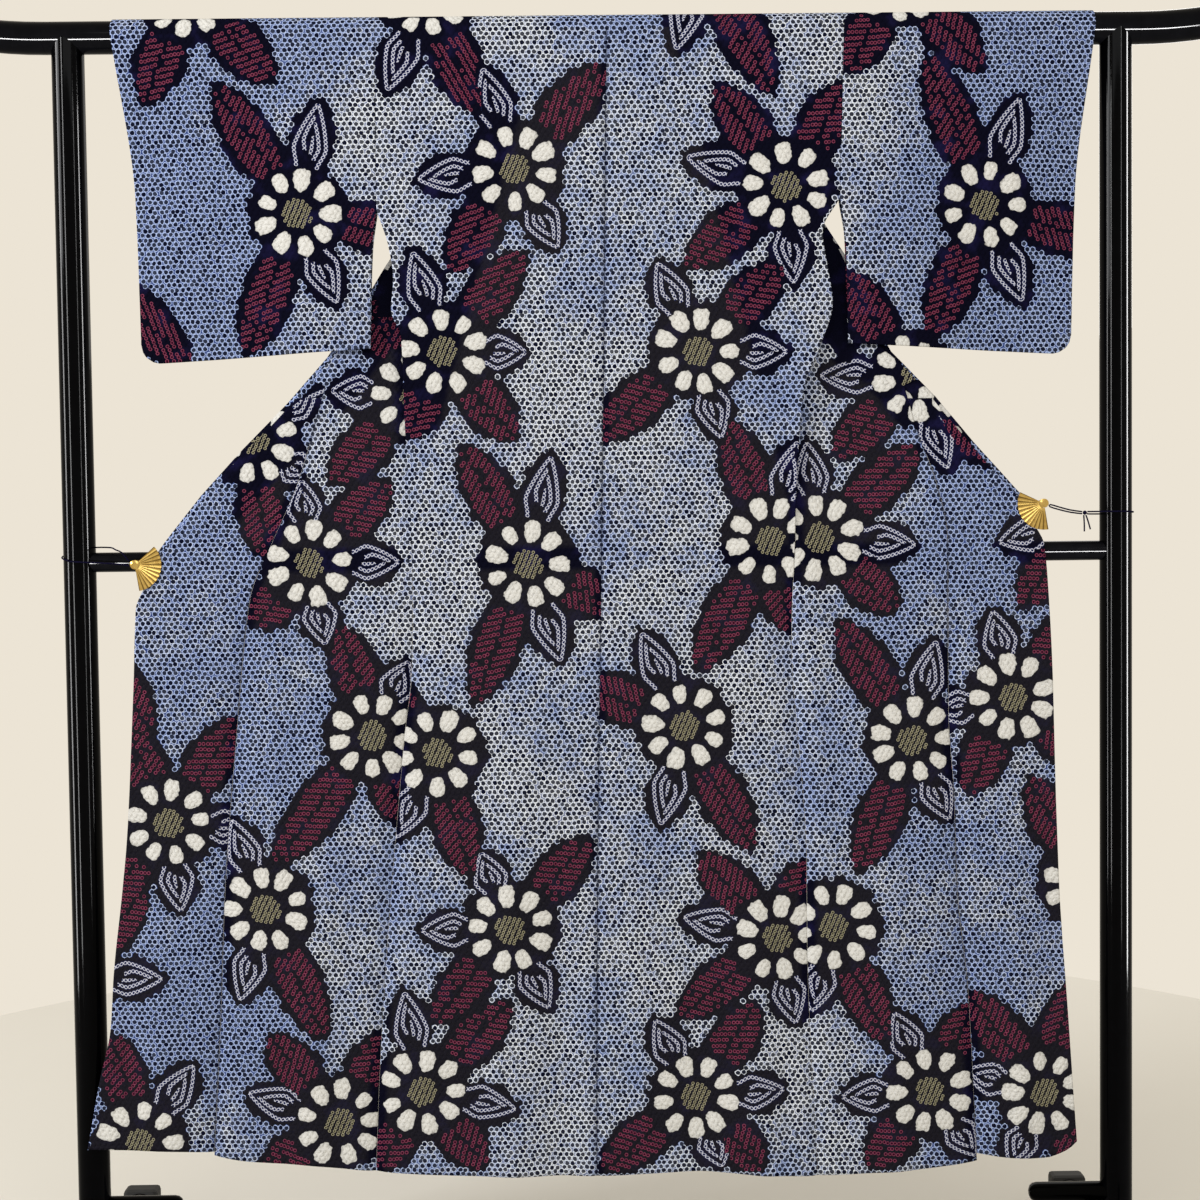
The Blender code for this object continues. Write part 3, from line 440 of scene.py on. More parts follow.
class Cloth:
    """A sheet made of patches that share the corners they meet at."""

    def __init__(self):
        self.points = []
        self.faces = []
        self.known = {}

    def corner(self, spot):
        key = tuple(round(value, 6) for value in spot[:3])
        if key not in self.known:
            self.known[key] = len(self.points)
            self.points.append(spot[:3])
        return self.known[key]

    def patch(self, rows, region):
        for upper, lower in zip(rows, rows[1:]):
            for i in range(len(upper) - 1):
                ring = (upper[i], upper[i + 1], lower[i + 1], lower[i])
                face, spots = [], []
                for spot in ring:
                    corner = self.corner(spot)
                    if corner not in face:
                        face.append(corner)
                        spots.append(spot)
                if len(face) > 2:
                    self.faces.append((face, spots, region))


# The pattern. Each flower stands at a place on the flat cloth of one region, across and down, and
# its leaves are given as kind, direction in degrees / distance of the tip in centimetres, and for
# some leaves the direction of their rows of rings after an @. r is a red leaf and b is a blue one.
# n is a dark patch that paints deep shade, and it has no flower.
SHOWN_MOTIFS = {
    "sleeve_left": [
        (-0.401, 1.487, "r122/21@64 b78/16 r-12/20@60 b-67/14 r-112/21@20"),
        (-0.545, 1.780, "r-113/16@12 r-45/17@18"),
        (-0.697, 1.429, "r-45/21@-70"),
    ],
    "sleeve_right": [
        (0.530, 1.491, "r112/22 b72/16 r-17/20 b-68/15 r-113/20@20"),
        (0.415, 1.793, "r-121/15 r-48/17"),
        (0.419, 1.257, "r119/17"),
    ],
    "back_left": [
        (-0.223, 1.778, "b-113/15 r-67/18@-60"),
        (-0.108, 1.544, "b107/15 r48/19@72 b-174/14 r-123/17@20 b-62/13"),
        (-0.208, 1.299, "b106/15 r50/18@20 b-1/12 r-51/16 r-113/13"),
        (-0.097, 1.011, "r118/19 b77/16 r-28/14 b-72/15 r-112/21"),
        (-0.224, 0.755, "r130/15 r-76/18 b-117/14"),
        (-0.128, 0.512, "b180/13 r-130/17 b-65/13 r48/17 b110/12"),
        (-0.252, 0.289, "b99/15 r45/18 b-11/14 r-51/14 r-120/13"),
    ],
    "back_right": [
        (0.150, 1.834, "b-106/15 r-65/22"),
        (0.258, 1.516, "r124/17 r58/17 b163/15 r-142/18 b-86/14"),
        (0.136, 1.296, "b114/14 r45/17 b-1/13 r-140/19 b-75/13"),
        (0.232, 1.038, "r109/18 b74/15 r-120/21 r-77/13"),
        (0.113, 0.788, "r157/16 b114/15 r-62/20 b-104/15"),
        (0.237, 0.495, "r132/16 b167/14 r-141/18 b-78/13 r65/12"),
        (0.124, 0.275, "b117/13 r57/16 b5/13 r-143/17 b-70/11 r-48/14"),
    ],
    "front_left": [
        (-0.249, 1.242, "b176/12 r115/16 r-134/17"),
        (-0.393, 1.016, "r45/16 b0/13 b95/12 r-133/12 b-80/12"),
        (-0.312, 0.780, "r105/16 b63/12 r-128/23 r-70/14"),
        (-0.461, 0.544, "r-67/20 b-107/14 b110/14"),
        (-0.366, 0.248, "r127/16 b161/14 r-145/14 r60/15"),
        (-0.315, 1.270, "n75/20"),
    ],
    "okumi_left": [
        (-0.467, 1.184, "b40/12 b-35/10 r-84/17"),
        (-0.591, 0.664, "r112/14 r55/18 b-5/12 b-83/13 r-130/14"),
        (-0.734, 0.451, "b0/14 r48/17"),
        (-0.713, 0.948, "r-58/20"),
        (-0.639, 0.223, "r103/16 b55/14"),
    ],
    "front_right": [
        (0.435, 1.258, "b178/14 r-137/16"),
        (0.300, 1.042, "b97/14 r42/19@0 b-5/14 r-44/15@55"),
        (0.424, 0.764, "r121/20 b76/15 b-65/13 r-113/20 r-15/14"),
        (0.315, 0.509, "r-66/18 b-105/13"),
        (0.446, 0.279, "b114/13 r62/14 b-177/13 r-129/14 b-55/12"),
        (0.348, 1.235, "n98/28"),
    ],
    "okumi_right": [
        (0.435, 1.258, "b-72/14 r-47/17"),
        (0.562, 0.821, "b103/13 r50/16 b-170/12 r-116/15 r-40/15"),
        (0.661, 0.566, "r118/17"),
        (0.662, 1.060, "b-167/13 r-128/15"),
        (0.603, 0.275, "r126/18 b165/12 r75/16 b-115/12 r-60/12"),
    ],
}
# What the photograph doesn't show: behind the rail, the sleeves' far sides, and the collar.
HIDDEN_MOTIFS = {
    "back_left": [
        (-0.170, 2.060, "r122/19 b78/15 b-12/13 r-67/18 r-135/17"),
        (-0.240, 2.310, "r62/17 b-75/13 r130/18 b178/12"),
    ],
    "back_right": [
        (0.205, 2.080, "r118/19 b70/15 b-12/13 b-67/14 r-125/17"),
        (0.235, 2.330, "r60/18 b110/14 b175/12 r-60/15"),
    ],
    "sleeve_left": [
        (-0.370, 2.020, "r112/20 b68/15 b-67/14 r-122/20 r178/15"),
        (-0.560, 2.240, "r-62/17 b108/14 b5/13 r-128/17"),
    ],
    "sleeve_right": [
        (0.545, 2.000, "r112/20 b68/15 b-67/14 r-122/20 b178/13"),
        (0.400, 2.230, "r62/17 b108/14 b5/13 r-118/17"),
    ],
    "collar": [
        (-0.80, 0.020, "r160/20 b12/16"),
        (-0.48, 0.045, "r172/18 b8/15"),
        (-0.13, 0.010, "b165/15 r10/18"),
        (0.18, 0.050, "r170/18 b-8/15"),
        (0.47, 0.030, "b175/15 r5/18"),
        (0.76, 0.045, "r185/17 b5/15"),
    ],
}
ROW_LEAN = -55
FLOWER_REACH = 0.080
SHADE_PATCH = 99.0
PETALS = 9
FLOWER_SPARE = 0.012
LEAF_SLOTS = 3
NOWHERE = 99.0

# How far from its flower's middle each kind of leaf starts, and its half width.
LeafKind = namedtuple("LeafKind", "start half")
LEAF_KINDS = {
    "r": LeafKind(0.034, 0.0375),
    "b": LeafKind(0.046, -0.0325),
    "n": LeafKind(0.046, 0.0420),
}
# Along runs from the leaf's base to its tip, over its length. Half is its half width against its
# length, and below 0 in a blue leaf. Rows is the direction of its rows of rings.
Motif = namedtuple("Motif", "region across down leaves")
Leaf = namedtuple("Leaf", "region base along half length rows")


def read_motifs():
    motifs = []
    for group in (SHOWN_MOTIFS, HIDDEN_MOTIFS):
        for region, rows in group.items():
            motifs += [Motif(region, *row) for row in rows]
    return motifs


def read_leaf(motif, word):
    """One leaf, from its word in the table."""
    kind = LEAF_KINDS[word[0]]
    angle, rest = word[1:].split("/")
    reach, _, rows = rest.partition("@")
    turn = math.radians(float(angle))
    length = float(reach) / 100 - kind.start
    base = (motif.across + kind.start * math.cos(turn), motif.down + kind.start * math.sin(turn))
    lean = math.radians(float(rows)) if rows else turn + math.radians(ROW_LEAN)
    # A patch of painted shade gets no rows of rings.
    if word[0] == "n":
        lean = SHADE_PATCH
    along = (math.cos(turn) / length, math.sin(turn) / length)
    return Leaf(motif.region, base, along, kind.half / length, length, lean)


MOTIFS = read_motifs()
LEAVES = [read_leaf(motif, word) for motif in MOTIFS for word in motif.leaves.split()]
NO_LEAF = Leaf("", (NOWHERE, NOWHERE), (1.0, 0.0), 0.0, 1.0, 0.0)


def leaves_at(region, across, down):
    """The leaves whose reach covers a place, the most fitting first, filled up with no leaf."""
    found = []
    for leaf in LEAVES:
        if leaf.region != region:
            continue
        dx, dy = across - leaf.base[0], down - leaf.base[1]
        t = dx * leaf.along[0] + dy * leaf.along[1]
        aside = abs(dx * leaf.along[1] - dy * leaf.along[0])
        spare = FLOWER_SPARE / leaf.length
        if -spare < t < 1 + spare and aside < abs(leaf.half) + spare:
            found.append((aside / abs(leaf.half) + abs(t - 0.5), leaf))
    found.sort(key=lambda pair: pair[0])
    return ([leaf for _, leaf in found] + [NO_LEAF] * LEAF_SLOTS)[:LEAF_SLOTS]


def flower_at(region, across, down):
    """The middle of the nearest flower, and its number of petals plus a chance of its own."""
    best, nearest = (NOWHERE, NOWHERE, PETALS), FLOWER_REACH + FLOWER_SPARE
    for i, motif in enumerate(MOTIFS):
        if motif.region == region and motif.leaves[0] != "n":
            away = math.hypot(across - motif.across, down - motif.down)
            if away < nearest:
                best, nearest = (motif.across, motif.down, PETALS + (0.37 * i) % 1.0), away
    return best


def pattern_data(cloth):
    """What the pattern is drawn from: three numbers for each corner of a face, or for each face."""
    data = defaultdict(list)
    for _, spots, region in cloth.faces:
        for spot in spots:
            data["cloth"] += (spot.across, spot.down, spot.single)
        across = sum(spot.across for spot in spots) / len(spots)
        down = sum(spot.down for spot in spots) / len(spots)
        data["flower"] += flower_at(region, across, down)
        for i, leaf in enumerate(leaves_at(region, across, down)):
            data[f"leaf_{i}"] += (*leaf.base, leaf.half)
            data[f"turn_{i}"] += (*leaf.along, leaf.rows)
    return data


def make_cloth(cloth, name, look):
    """The shown shell of one piece."""
    mesh = bpy.data.meshes.new(name)
    mesh.from_pydata(cloth.points, [], [face for face, _, _ in cloth.faces])
    for key, numbers in pattern_data(cloth).items():
        made = mesh.attributes.new(key, "FLOAT_VECTOR", "CORNER" if key == "cloth" else "FACE")
        made.data.foreach_set("vector", numbers)
    shape = bmesh.new()
    shape.from_mesh(mesh)
    bmesh.ops.recalc_face_normals(shape, faces=shape.faces)
    shape.to_mesh(mesh)
    shape.free()
    mesh.shade_smooth()
    made = bpy.data.objects.new(f"{name}_shown", mesh)
    bpy.context.collection.objects.link(made)
    made.data.materials.append(look)
    wall = made.modifiers.new("wall", "SOLIDIFY")
    wall.thickness = SHELL
    wall.offset = 0.0
    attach(made, "root")
    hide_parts(name)


def over_rail(x, angle):
    """A spot where the cloth lies on the rail. Angle 0 is the top, and 90 is behind."""
    turn = math.radians(angle)
    y, z = OVER_RAIL * math.sin(turn), RAIL_HEIGHT + OVER_RAIL * math.cos(turn)
    return Spot(x, y, z, x, RAIL_HEIGHT + OVER_RAIL * (turn + math.pi / 2), 0.0)


def rail_row(xs, angle):
    return [over_rail(x, angle) for x in xs]


def panel_rows(edges, shares, heights, hem, y_of, single_of):
    """Rows of a panel at the given heights, and from the last of them down to its hem."""

    def spot(x, z):
        return Spot(x, y_of(x, z), z, x, z, single_of(x, z))

    rows = [[spot(mix(*edges(z), share), z) for share in shares] for z in heights]
    for down in spread(0, 1, ROWS_TO_HEM * FINER)[1:]:
        row = []
        for share in shares:
            x = mix(*edges(LAST_LEVEL), share)
            for _ in range(2):
                z = mix(LAST_LEVEL, hem(x), down)
                x = mix(*edges(z), share)
            row.append(spot(x, z))
        rows.append(row)
    return rows


def columns(width, first=0.0, last=1.0):
    """Shares across a panel of about this width, closer together beside its seams."""
    inner = spread(first, last, max(2, round((last - first) * width / FINE_STEP)))
    edges = [step / width for step in EDGE_COLUMNS]
    close = []
    if first == 0.0:
        close += edges
    if last == 1.0:
        close += [1 - step for step in edges]
    kept = [inner[0]]
    for share in inner[1:-1]:
        if all(abs(share - other) * width > LEAST_STEP for other in close):
            kept.append(share)
    kept.append(inner[-1])
    return sorted(kept + close)


def make_body(side, look):
    """One body length: back panel, shoulder, and the front with its outward fold."""
    cloth = Cloth()
    sign = side.sign
    back_region, front_region = f"back_{side.name}", f"front_{side.name}"

    def back_edges(z):
        centre = CENTRE_SEAM(z) - sign * TUCK
        return centre, sign * (side_out(side, z) - GAP / 2)

    centre, edge = back_edges(RAIL_HEIGHT)
    width = abs(edge - centre)
    neck_share = (sign * side.neck - centre) / (edge - centre)
    neck_shares = columns(width, 0.0, neck_share)
    shoulder_shares = columns(width, neck_share, 1.0)
    shares = neck_shares + shoulder_shares[1:]
    single_of = partial(back_single, side)
    back = panel_rows(back_edges, shares, levels(RAIL_HEIGHT), BODY_HEM, hanging, single_of)
    cloth.patch(back, back_region)

    top = [mix(centre, edge, share) for share in shares]
    neck, shoulder = top[: len(neck_shares)], top[len(neck_shares) - 1:]
    neck_end = -math.degrees(GAP / 2 / OVER_RAIL)
    quarter_turns = round(90 / FINE_TURN)
    rising = [FINE_TURN * i for i in range(-quarter_turns, 0)]
    falling = [FINE_TURN * i for i in range(1, quarter_turns + 1)]
    rising.append(neck_end)
    cloth.patch([rail_row(neck, angle) for angle in rising], back_region)
    cloth.patch([rail_row(shoulder, angle) for angle in rising + falling], back_region)

    # Behind the rail, from the fold line to the side edge.
    behind_start = RAIL_HEIGHT + math.pi * OVER_RAIL
    spans = [(x - shoulder[0]) / (shoulder[-1] - shoulder[0]) for x in shoulder]

    def under_row(z):
        row = []
        for share in spans:
            x = mix(sign * fold_out(side, z), back_edges(z)[1], share)
            fold_y = front_y(x, z) - FOLD_WIDTH
            edge_y = hanging(x, z) + side_gap(side, z)
            down = behind_start + RAIL_HEIGHT - z
            row.append(Spot(x, mix(fold_y, edge_y, share), z, x, down, 0.0))
        return row

    below_rail = levels(RAIL_HEIGHT, TURN_HEIGHT)[1:]
    under = [under_row(z) for z in below_rail]
    cloth.patch([rail_row(shoulder, 90), *under], back_region)

    def turn_row(z, start):
        row = [start]
        for angle in (45, 90, 135, 180):
            turn = math.radians(angle)
            x = start.x - sign * FOLD_WIDTH / 2 * math.sin(turn)
            y = start.y + FOLD_WIDTH / 2 * (1 - math.cos(turn))
            row.append(Spot(x, y, z, start.across, start.down, 0.0))
        return row

    turns = [turn_row(z, row[0]) for z, row in zip(below_rail, under)]
    cloth.patch(turns, back_region)

    def front_inner(z):
        if z >= TURN_HEIGHT:
            return fold_out(side, z)
        hidden = side_out(side, TURN_HEIGHT) - SEAM_ALLOWANCE
        seam = side_out(side, z) + GAP / 2
        return mix(min(hidden, seam), seam, smooth((TURN_HEIGHT - z) / EDGE_EASE))

    def front_outer(z):
        if z > side.okumi_top:
            return side.collar_edge(z) - COLLAR_PEEP
        return side.okumi_seam(z) - GAP / 2

    def front_edges(z):
        return sign * front_inner(z), sign * front_outer(z)

    shares, heights = columns(FRONT_WIDTH), levels(below_rail[0])
    single_of = partial(front_single, side)
    front = panel_rows(front_edges, shares, heights, BODY_HEM, front_y, single_of)
    for row, turn in zip(front, turns):
        row[0] = row[0]._replace(x=turn[-1].x, y=turn[-1].y, z=turn[-1].z)
    cloth.patch(front, front_region)
    make_cloth(cloth, f"body_{side.name}", look)


def make_okumi(side, look):
    """The front overlap: a narrow panel sewn to the front's edge, under the collar."""
    cloth = Cloth()

    def outer(z):
        if z > side.corner_height:
            return side.collar_edge(z) - COLLAR_PEEP
        start = side.free_edge(1.76) - COLLAR_PEEP
        eased = smooth((side.corner_height - z) / EDGE_EASE)
        return mix(start, side.free_edge(z), eased)

    def edges(z):
        return side.sign * (side.okumi_seam(z) + GAP / 2), side.sign * outer(z)

    first = side.okumi_top - OKUMI_START
    shares, heights = columns(OKUMI_WIDTH), [first, *levels(first - LEAST_STEP)]
    single_of = partial(front_single, side)
    rows = panel_rows(edges, shares, heights, OKUMI_HEM, front_y, single_of)
    cloth.patch(rows, f"okumi_{side.name}")
    make_cloth(cloth, f"okumi_{side.name}", look)


def make_collar(look):
    """One strip from the left front over the back of the neck to the right front."""
    cloth = Cloth()
    quarter = math.pi / 2 * OVER_RAIL
    behind_top = LIFT_AT_RAIL - OVER_RAIL + COLLAR_BEHIND
    first_angle = GAP / 2 / OVER_RAIL
    neck_shares = (0.4, 0.6, 0.8, 1.0)
    coarse = spread(RAIL_HEIGHT, LAST_LEVEL, round((RAIL_HEIGHT - LAST_LEVEL) / ROW_STEP))

    def lay(x, drop):
        """A place behind the garment, by how far it is along the cloth from the rail's top."""
        if drop < quarter:
            turn = max(drop / OVER_RAIL, first_angle)
            radius = mix(OVER_RAIL, behind_top, smooth(turn / (math.pi / 2)))
            return (x, radius * math.sin(turn), RAIL_HEIGHT + radius * math.cos(turn))
        z = RAIL_HEIGHT - (drop - quarter)
        return (x, front_y(x, z) + COLLAR_BEHIND, z)

    def leg(side):
        sign = side.sign
        first = RAIL_HEIGHT - COLLAR_FIRST_ROW
        highest, lowest = first - CLOSEST_ROWS, side.corner_height + CLOSEST_ROWS
        below = [z for z in coarse if lowest - 1e-6 <= z <= highest + 1e-6]
        ends = [(sign * (side.neck - NECK_CLEAR), share * quarter) for share in neck_shares]
        for z in [first, *below, side.corner_height]:
            ends.append((sign * side.collar_edge(z), quarter + RAIL_HEIGHT - z))
        pairs = []
        for i, (x, drop) in enumerate(ends):
            before, after = ends[max(i - 1, 0)], ends[min(i + 1, len(ends) - 1)]
            if i < len(neck_shares):
                before, after = ends[len(neck_shares) - 1], ends[len(neck_shares)]
            along = (after[0] - before[0], after[1] - before[1])
            length = math.hypot(*along)
            along = (along[0] / length, along[1] / length)
            inward = (-sign * along[1], sign * along[0])
            travelled = math.hypot(x - ends[0][0], drop - ends[0][1])
            push = COLLAR_WIDTH * COLLAR_TURN * max(0.0, 1 - travelled / COLLAR_TURN_LENGTH)
            far_x = x + COLLAR_WIDTH * inward[0] + push * along[0]
            far_drop = drop + COLLAR_WIDTH * inward[1] + push * along[1]
            pairs.append(((x, drop), (far_x, far_drop)))
        return pairs

    left, right = leg(LEFT), leg(RIGHT)
    across = []
    for t in spread(0, 1, NECK_STEPS):
        near_x = mix(NECK_CLEAR - LEFT.neck, RIGHT.neck - NECK_CLEAR, t)
        far_x = mix(left[0][1][0], right[0][1][0], t)
        far_drop = mix(left[0][1][1], right[0][1][1], t)
        across.append(((near_x, 0.0), (far_x, far_drop)))
    every = [*reversed(left), *across, *right]
    middle = len(left) + NECK_STEPS // 2
    travelled = [0.0]
    for before, after in zip(every, every[1:]):
        travelled.append(travelled[-1] + math.dist(before[0], after[0]))
    rows = []
    for i in range(len(every) - 1):
        steps = max(1, round((travelled[i + 1] - travelled[i]) / FINE_STEP))
        last = i == len(every) - 2
        for k in range(steps + 1 if last else steps):
            t = k / steps
            near = [mix(a, b, t) for a, b in zip(every[i][0], every[i + 1][0])]
            far = [mix(a, b, t) for a, b in zip(every[i][1], every[i + 1][1])]
            run = mix(travelled[i], travelled[i + 1], t) - travelled[middle]
            row = []
            for share in spread(0, 1, COLLAR_COLUMNS):
                place = lay(mix(near[0], far[0], share), mix(near[1], far[1], share))
                row.append(Spot(*place, run, share * COLLAR_WIDTH, 0.0))
            rows.append(row)
    cloth.patch(rows, "collar")
    make_cloth(cloth, "collar", look)


def make_sleeve(side, look):
    """A sleeve tube that hangs over the rail, open at the body and at the cuff."""
    cloth = Cloth()
    sign = side.sign
    width = side.sleeve_outer(SLEEVE_LOW) - side.sleeve_inner(SLEEVE_LOW)
    shares = columns(width)
    cuff_end = RAIL_HEIGHT + OVER_RAIL - CUFF_LENGTH

    def bottom(share):
        straight = mix(SLEEVE_BOTTOM_INNER, SLEEVE_BOTTOM_OUTER, share) + SLEEVE_END_GAP / 2
        inside = max(0.0, SLEEVE_CORNER - (1 - share) * width)
        return straight + SLEEVE_CORNER - math.sqrt(max(SLEEVE_CORNER**2 - inside**2, 0.0))

    def across(share, z):
        inner = sleeve_in(side, z) + GAP / 2
        return sign * mix(inner, side.sleeve_outer(z), share)

    def layers(share, z):
        """The y of the near and the far layer."""
        fall = clamp((RAIL_HEIGHT - z) / (RAIL_HEIGHT - bottom(share)))
        half = mix(OVER_RAIL, SLEEVE_END_GAP / 2, fall**SLEEVE_TAPER)
        body_near = hanging(sign * sleeve_in(side, z), z)
        body_gap = side_gap(side, z)
        loose = smooth((side.armhole_height - z) / SLEEVE_LOOSE)
        body_half = mix(max(body_gap, SLEEVE_END_GAP) / 2, half, loose)
        body_middle = mix(body_near + body_gap / 2, SLEEVE_FORWARD, loose)
        shut = smooth((RAIL_HEIGHT - z) / (RAIL_HEIGHT - cuff_end))
        cuff_half = mix(OVER_RAIL, CUFF_SHUT, shut)
        near_body = 1 - smooth((share - BODY_SHARE) / (CUFF_SHARE - BODY_SHARE))
        near_cuff = smooth((share - CUFF_SHARE) / (1 - CUFF_SHARE))
        half = mix(mix(half, body_half, near_body), cuff_half, near_cuff)
        half = mix(half, SLEEVE_END_GAP / 2, smooth((fall - SLEEVE_FLAT) / (1 - SLEEVE_FLAT)))
        middle = body_middle * near_body
        return middle - half, middle + half

    def spot(share, z, layer):
        x = across(share, z)
        y = layers(share, z)[layer] + puckers(x, z)
        down = RAIL_HEIGHT + math.pi * OVER_RAIL + RAIL_HEIGHT - z if layer else z
        return Spot(x, y, z, x, down, 0.0)

    near, far = [], []
    for down in spread(0, 1, SLEEVE_ROWS):
        places = [(share, mix(RAIL_HEIGHT, bottom(share), down)) for share in shares]
        near.append([spot(share, z, 0) for share, z in places])
        far.append([spot(share, z, 1) for share, z in places])
    top = [across(share, RAIL_HEIGHT) for share in shares]
    quarter_turns = round(90 / FINE_TURN)
    turns = range(1 - quarter_turns, quarter_turns)
    over = [rail_row(top, FINE_TURN * i) for i in turns]
    under = []
    for turn in spread(0, math.pi, SLEEVE_END_STEPS)[1:-1]:
        row = []
        for start, end in zip(far[-1], near[-1]):
            half = (start.y - end.y) / 2
            middle = (start.y + end.y) / 2
            z = start.z - half * math.sin(turn)
            row.append(Spot(start.x, middle + half * math.cos(turn), z, end.across, end.down, 0.0))
        under.append(row)
    region = f"sleeve_{side.name}"
    cloth.patch([*reversed(near), *over, *far], region)
    cloth.patch([far[-1], *under, near[-1]], region)
    make_cloth(cloth, region, look)


def feed(socket, value):
    if isinstance(value, Wire):
        socket.id_data.links.new(value.socket, socket)
    elif socket.type == "RGBA":
        socket.default_value = (*value, 1.0)
    else:
        socket.default_value = value


def new_node(nodes, kind, inputs, output=0, **settings):
    """One output of a new node, whose inputs are fed by their names or numbers."""
    node = nodes.new(f"ShaderNode{kind}")
    for name, value in settings.items():
        setattr(node, name, value)
    for name, value in inputs.items():
        feed(node.inputs[name], value)
    return Wire(nodes, node.outputs[output])


class Wire:
    """An output of a material's node that can be reckoned with like a number."""

    def __init__(self, nodes, socket):
        self.nodes = nodes
        self.socket = socket

    def math(self, operation, *others):
        inputs = dict(enumerate((self, *others)))
        return new_node(self.nodes, "Math", inputs, operation=operation)

    def __rsub__(self, other):
        return (self * -1.0) + other

    def __rtruediv__(self, other):
        return (self ** -1.0) * other

    def ramp(self, low, high):
        """0 below low, 1 above high, and smooth between."""
        inputs = {"Value": self, "From Min": low, "From Max": high}
        return new_node(self.nodes, "MapRange", inputs, interpolation_type="SMOOTHSTEP")


WIRE_MATH = {
    "__add__": "ADD", "__radd__": "ADD", "__sub__": "SUBTRACT", "__mul__": "MULTIPLY",
    "__rmul__": "MULTIPLY", "__truediv__": "DIVIDE", "__pow__": "POWER", "__abs__": "ABSOLUTE",
    "__lt__": "LESS_THAN", "__gt__": "GREATER_THAN", "at_least": "MAXIMUM", "at_most": "MINIMUM",
    "floor": "FLOOR", "fraction": "FRACT", "sign": "SIGN", "sin": "SINE", "cos": "COSINE",
    "angle_over": "ARCTAN2",
}


def add_wire_math():
    for name, operation in WIRE_MATH.items():
        setattr(Wire, name, partialmethod(Wire.math, operation))


add_wire_math()


class Painter:
    """Makes the nodes of one material."""

    def __init__(self, name):
        self.material = bpy.data.materials.new(name)
        self.material.use_nodes = True
        self.nodes = self.material.node_tree.nodes
        self.shader = self.nodes["Principled BSDF"]
        self.new = partial(new_node, self.nodes)

    def attribute(self, name):
        """The three numbers of a mesh attribute."""
        return self.parts(self.new("Attribute", {}, "Vector", attribute_name=name))

    def parts(self, vector):
        outputs = self.new("SeparateXYZ", {0: vector}).socket.node.outputs
        return [Wire(self.nodes, output) for output in outputs]

    def vector(self, x, y, z=0.0):
        return self.new("CombineXYZ", {0: x, 1: y, 2: z})

    def choose(self, share, low, high):
        """Between two numbers."""
        return self.new("Mix", {0: share, 2: low, 3: high}, data_type="FLOAT")

    def blend(self, share, low, high):
        """Between two colours."""
        return self.new("Mix", {0: share, 6: low, 7: high}, 2, data_type="RGBA")

    def noise(self, vector, scale, detail=2.0, roughness=0.5):
        inputs = {"Vector": vector, "Scale": scale, "Detail": detail, "Roughness": roughness}
        return self.new("TexNoise", inputs)

    def chance(self, x, y):
        """Numbers from 0 to 1 that are the same for the same whole numbers."""
        inputs = {"Vector": self.vector(x, y)}
        return self.parts(self.new("TexWhiteNoise", inputs, "Color", noise_dimensions="2D"))

    def object_place(self):
        return self.new("TexCoord", {}, "Object")

    def bump(self, height, distance, strength, normal=None):
        inputs = {"Distance": distance, "Strength": strength, "Height": height}
        if normal:
            inputs["Normal"] = normal
        self.set("Normal", self.new("Bump", inputs))

    def set(self, name, value):
        feed(self.shader.inputs[name], value)


RING_WIDE, RING_TALL = 0.0079, 0.0124
RING_RADIUS, RADIUS_LUCK = 0.0035, 0.0003
RING_EDGE, HEART_EDGE = (0.0, 0.0007), (-0.00080, -0.00034)
KNOT_FOOT = (0.0012, 0.0036)
# How high knots, petals and crinkles stand against each other.
KNOT, PUFF, CRINKLE = 0.7, 1.1, 0.35
# How much a ring's own luck and the clouds wear the rings, and how much painted shade dulls them where
# a second layer lies behind and towards the far sides.
WORN_RING, WORN_CLOUD, LAYER_SHADE, SIDE_SHADE = 0.50, 3.2, 0.16, 0.50
SHADED_SIDES = (0.25, 0.55)
BETWEEN, BETWEEN_SHADE = 0.79, 0.19
WANDER, ROUGH_ACROSS, ROUGH_DOWN = 0.0020, 0.0020, 0.0016
CELL_LUCK_ACROSS, CELL_LUCK_DOWN = 0.26, 0.16
# Scale, detail and roughness of each noise.
WANDER_NOISE = (45.0, 1.0)
ROUGH_NOISE = (300.0, 1.0)
LUMP_NOISE = (130.0, 1.0)
CLOUD_NOISE = (4.5, 4.0, 0.6)
FLECK_NOISE = (420.0, 2.0, 0.6)
CRINKLE_NOISE = (520.0, 2.0, 0.6)
NAVY_NOISE = (24.0, 2.0, 0.6)
RING_COLOUR = (0.87, 0.93, 1.0)
HEART_COLOUR = (0.003, 0.004, 0.016)
RING_BLUE = (0.35, 0.47, 0.82)
GROUND_BLUE = (0.020, 0.042, 0.175)
NEAR_BLACK = (0.0035, 0.0035, 0.010)
BACKLIT_GREY = (0.017, 0.016, 0.020)
NAVY_TINT = (0.010, 0.009, 0.045)
RED_LINE = (0.23, 0.050, 0.095)
RED_HEART = (0.028, 0.003, 0.013)
GREEN_LINE = (0.31, 0.29, 0.20)
GREEN_HEART = (0.03, 0.03, 0.015)
BLUE_LINE = (0.56, 0.58, 0.68)
BLUE_HEART = (0.013, 0.018, 0.075)
PETAL_COLOUR = (0.64, 0.64, 0.625)
PETAL_CREASE = (0.28, 0.28, 0.275)
PETAL_OUT, PETAL_OUT_LUCK, PETAL_TURN_LUCK = 0.0445, 0.004, 0.10
PETAL_LONG, PETAL_WIDE, PETAL_FLARE = 0.0142, 0.0104, 0.13
PETAL_LEAST, PETAL_SPREAD = 0.86, 0.26
PETAL_POWER, PETAL_LUMP = 2.5, 0.5
PETAL_EDGE = (0.94, 1.02)
DISC, DISC_LUCK = 0.0690, 0.006
ROW_SPACING, ROW_PITCH = 0.0080, 0.0052
CENTRE_SPACING, CENTRE_PITCH = 0.0062, 0.0044
CENTRE_RADIUS, CENTRE_REACH = 0.0200, 0.030
CENTRE_LEAN = math.radians(66)
CLEAR_OF_FLOWER = 0.068
RED_SHARE, RED_END = 0.70, 0.93
RIB = 0.0021
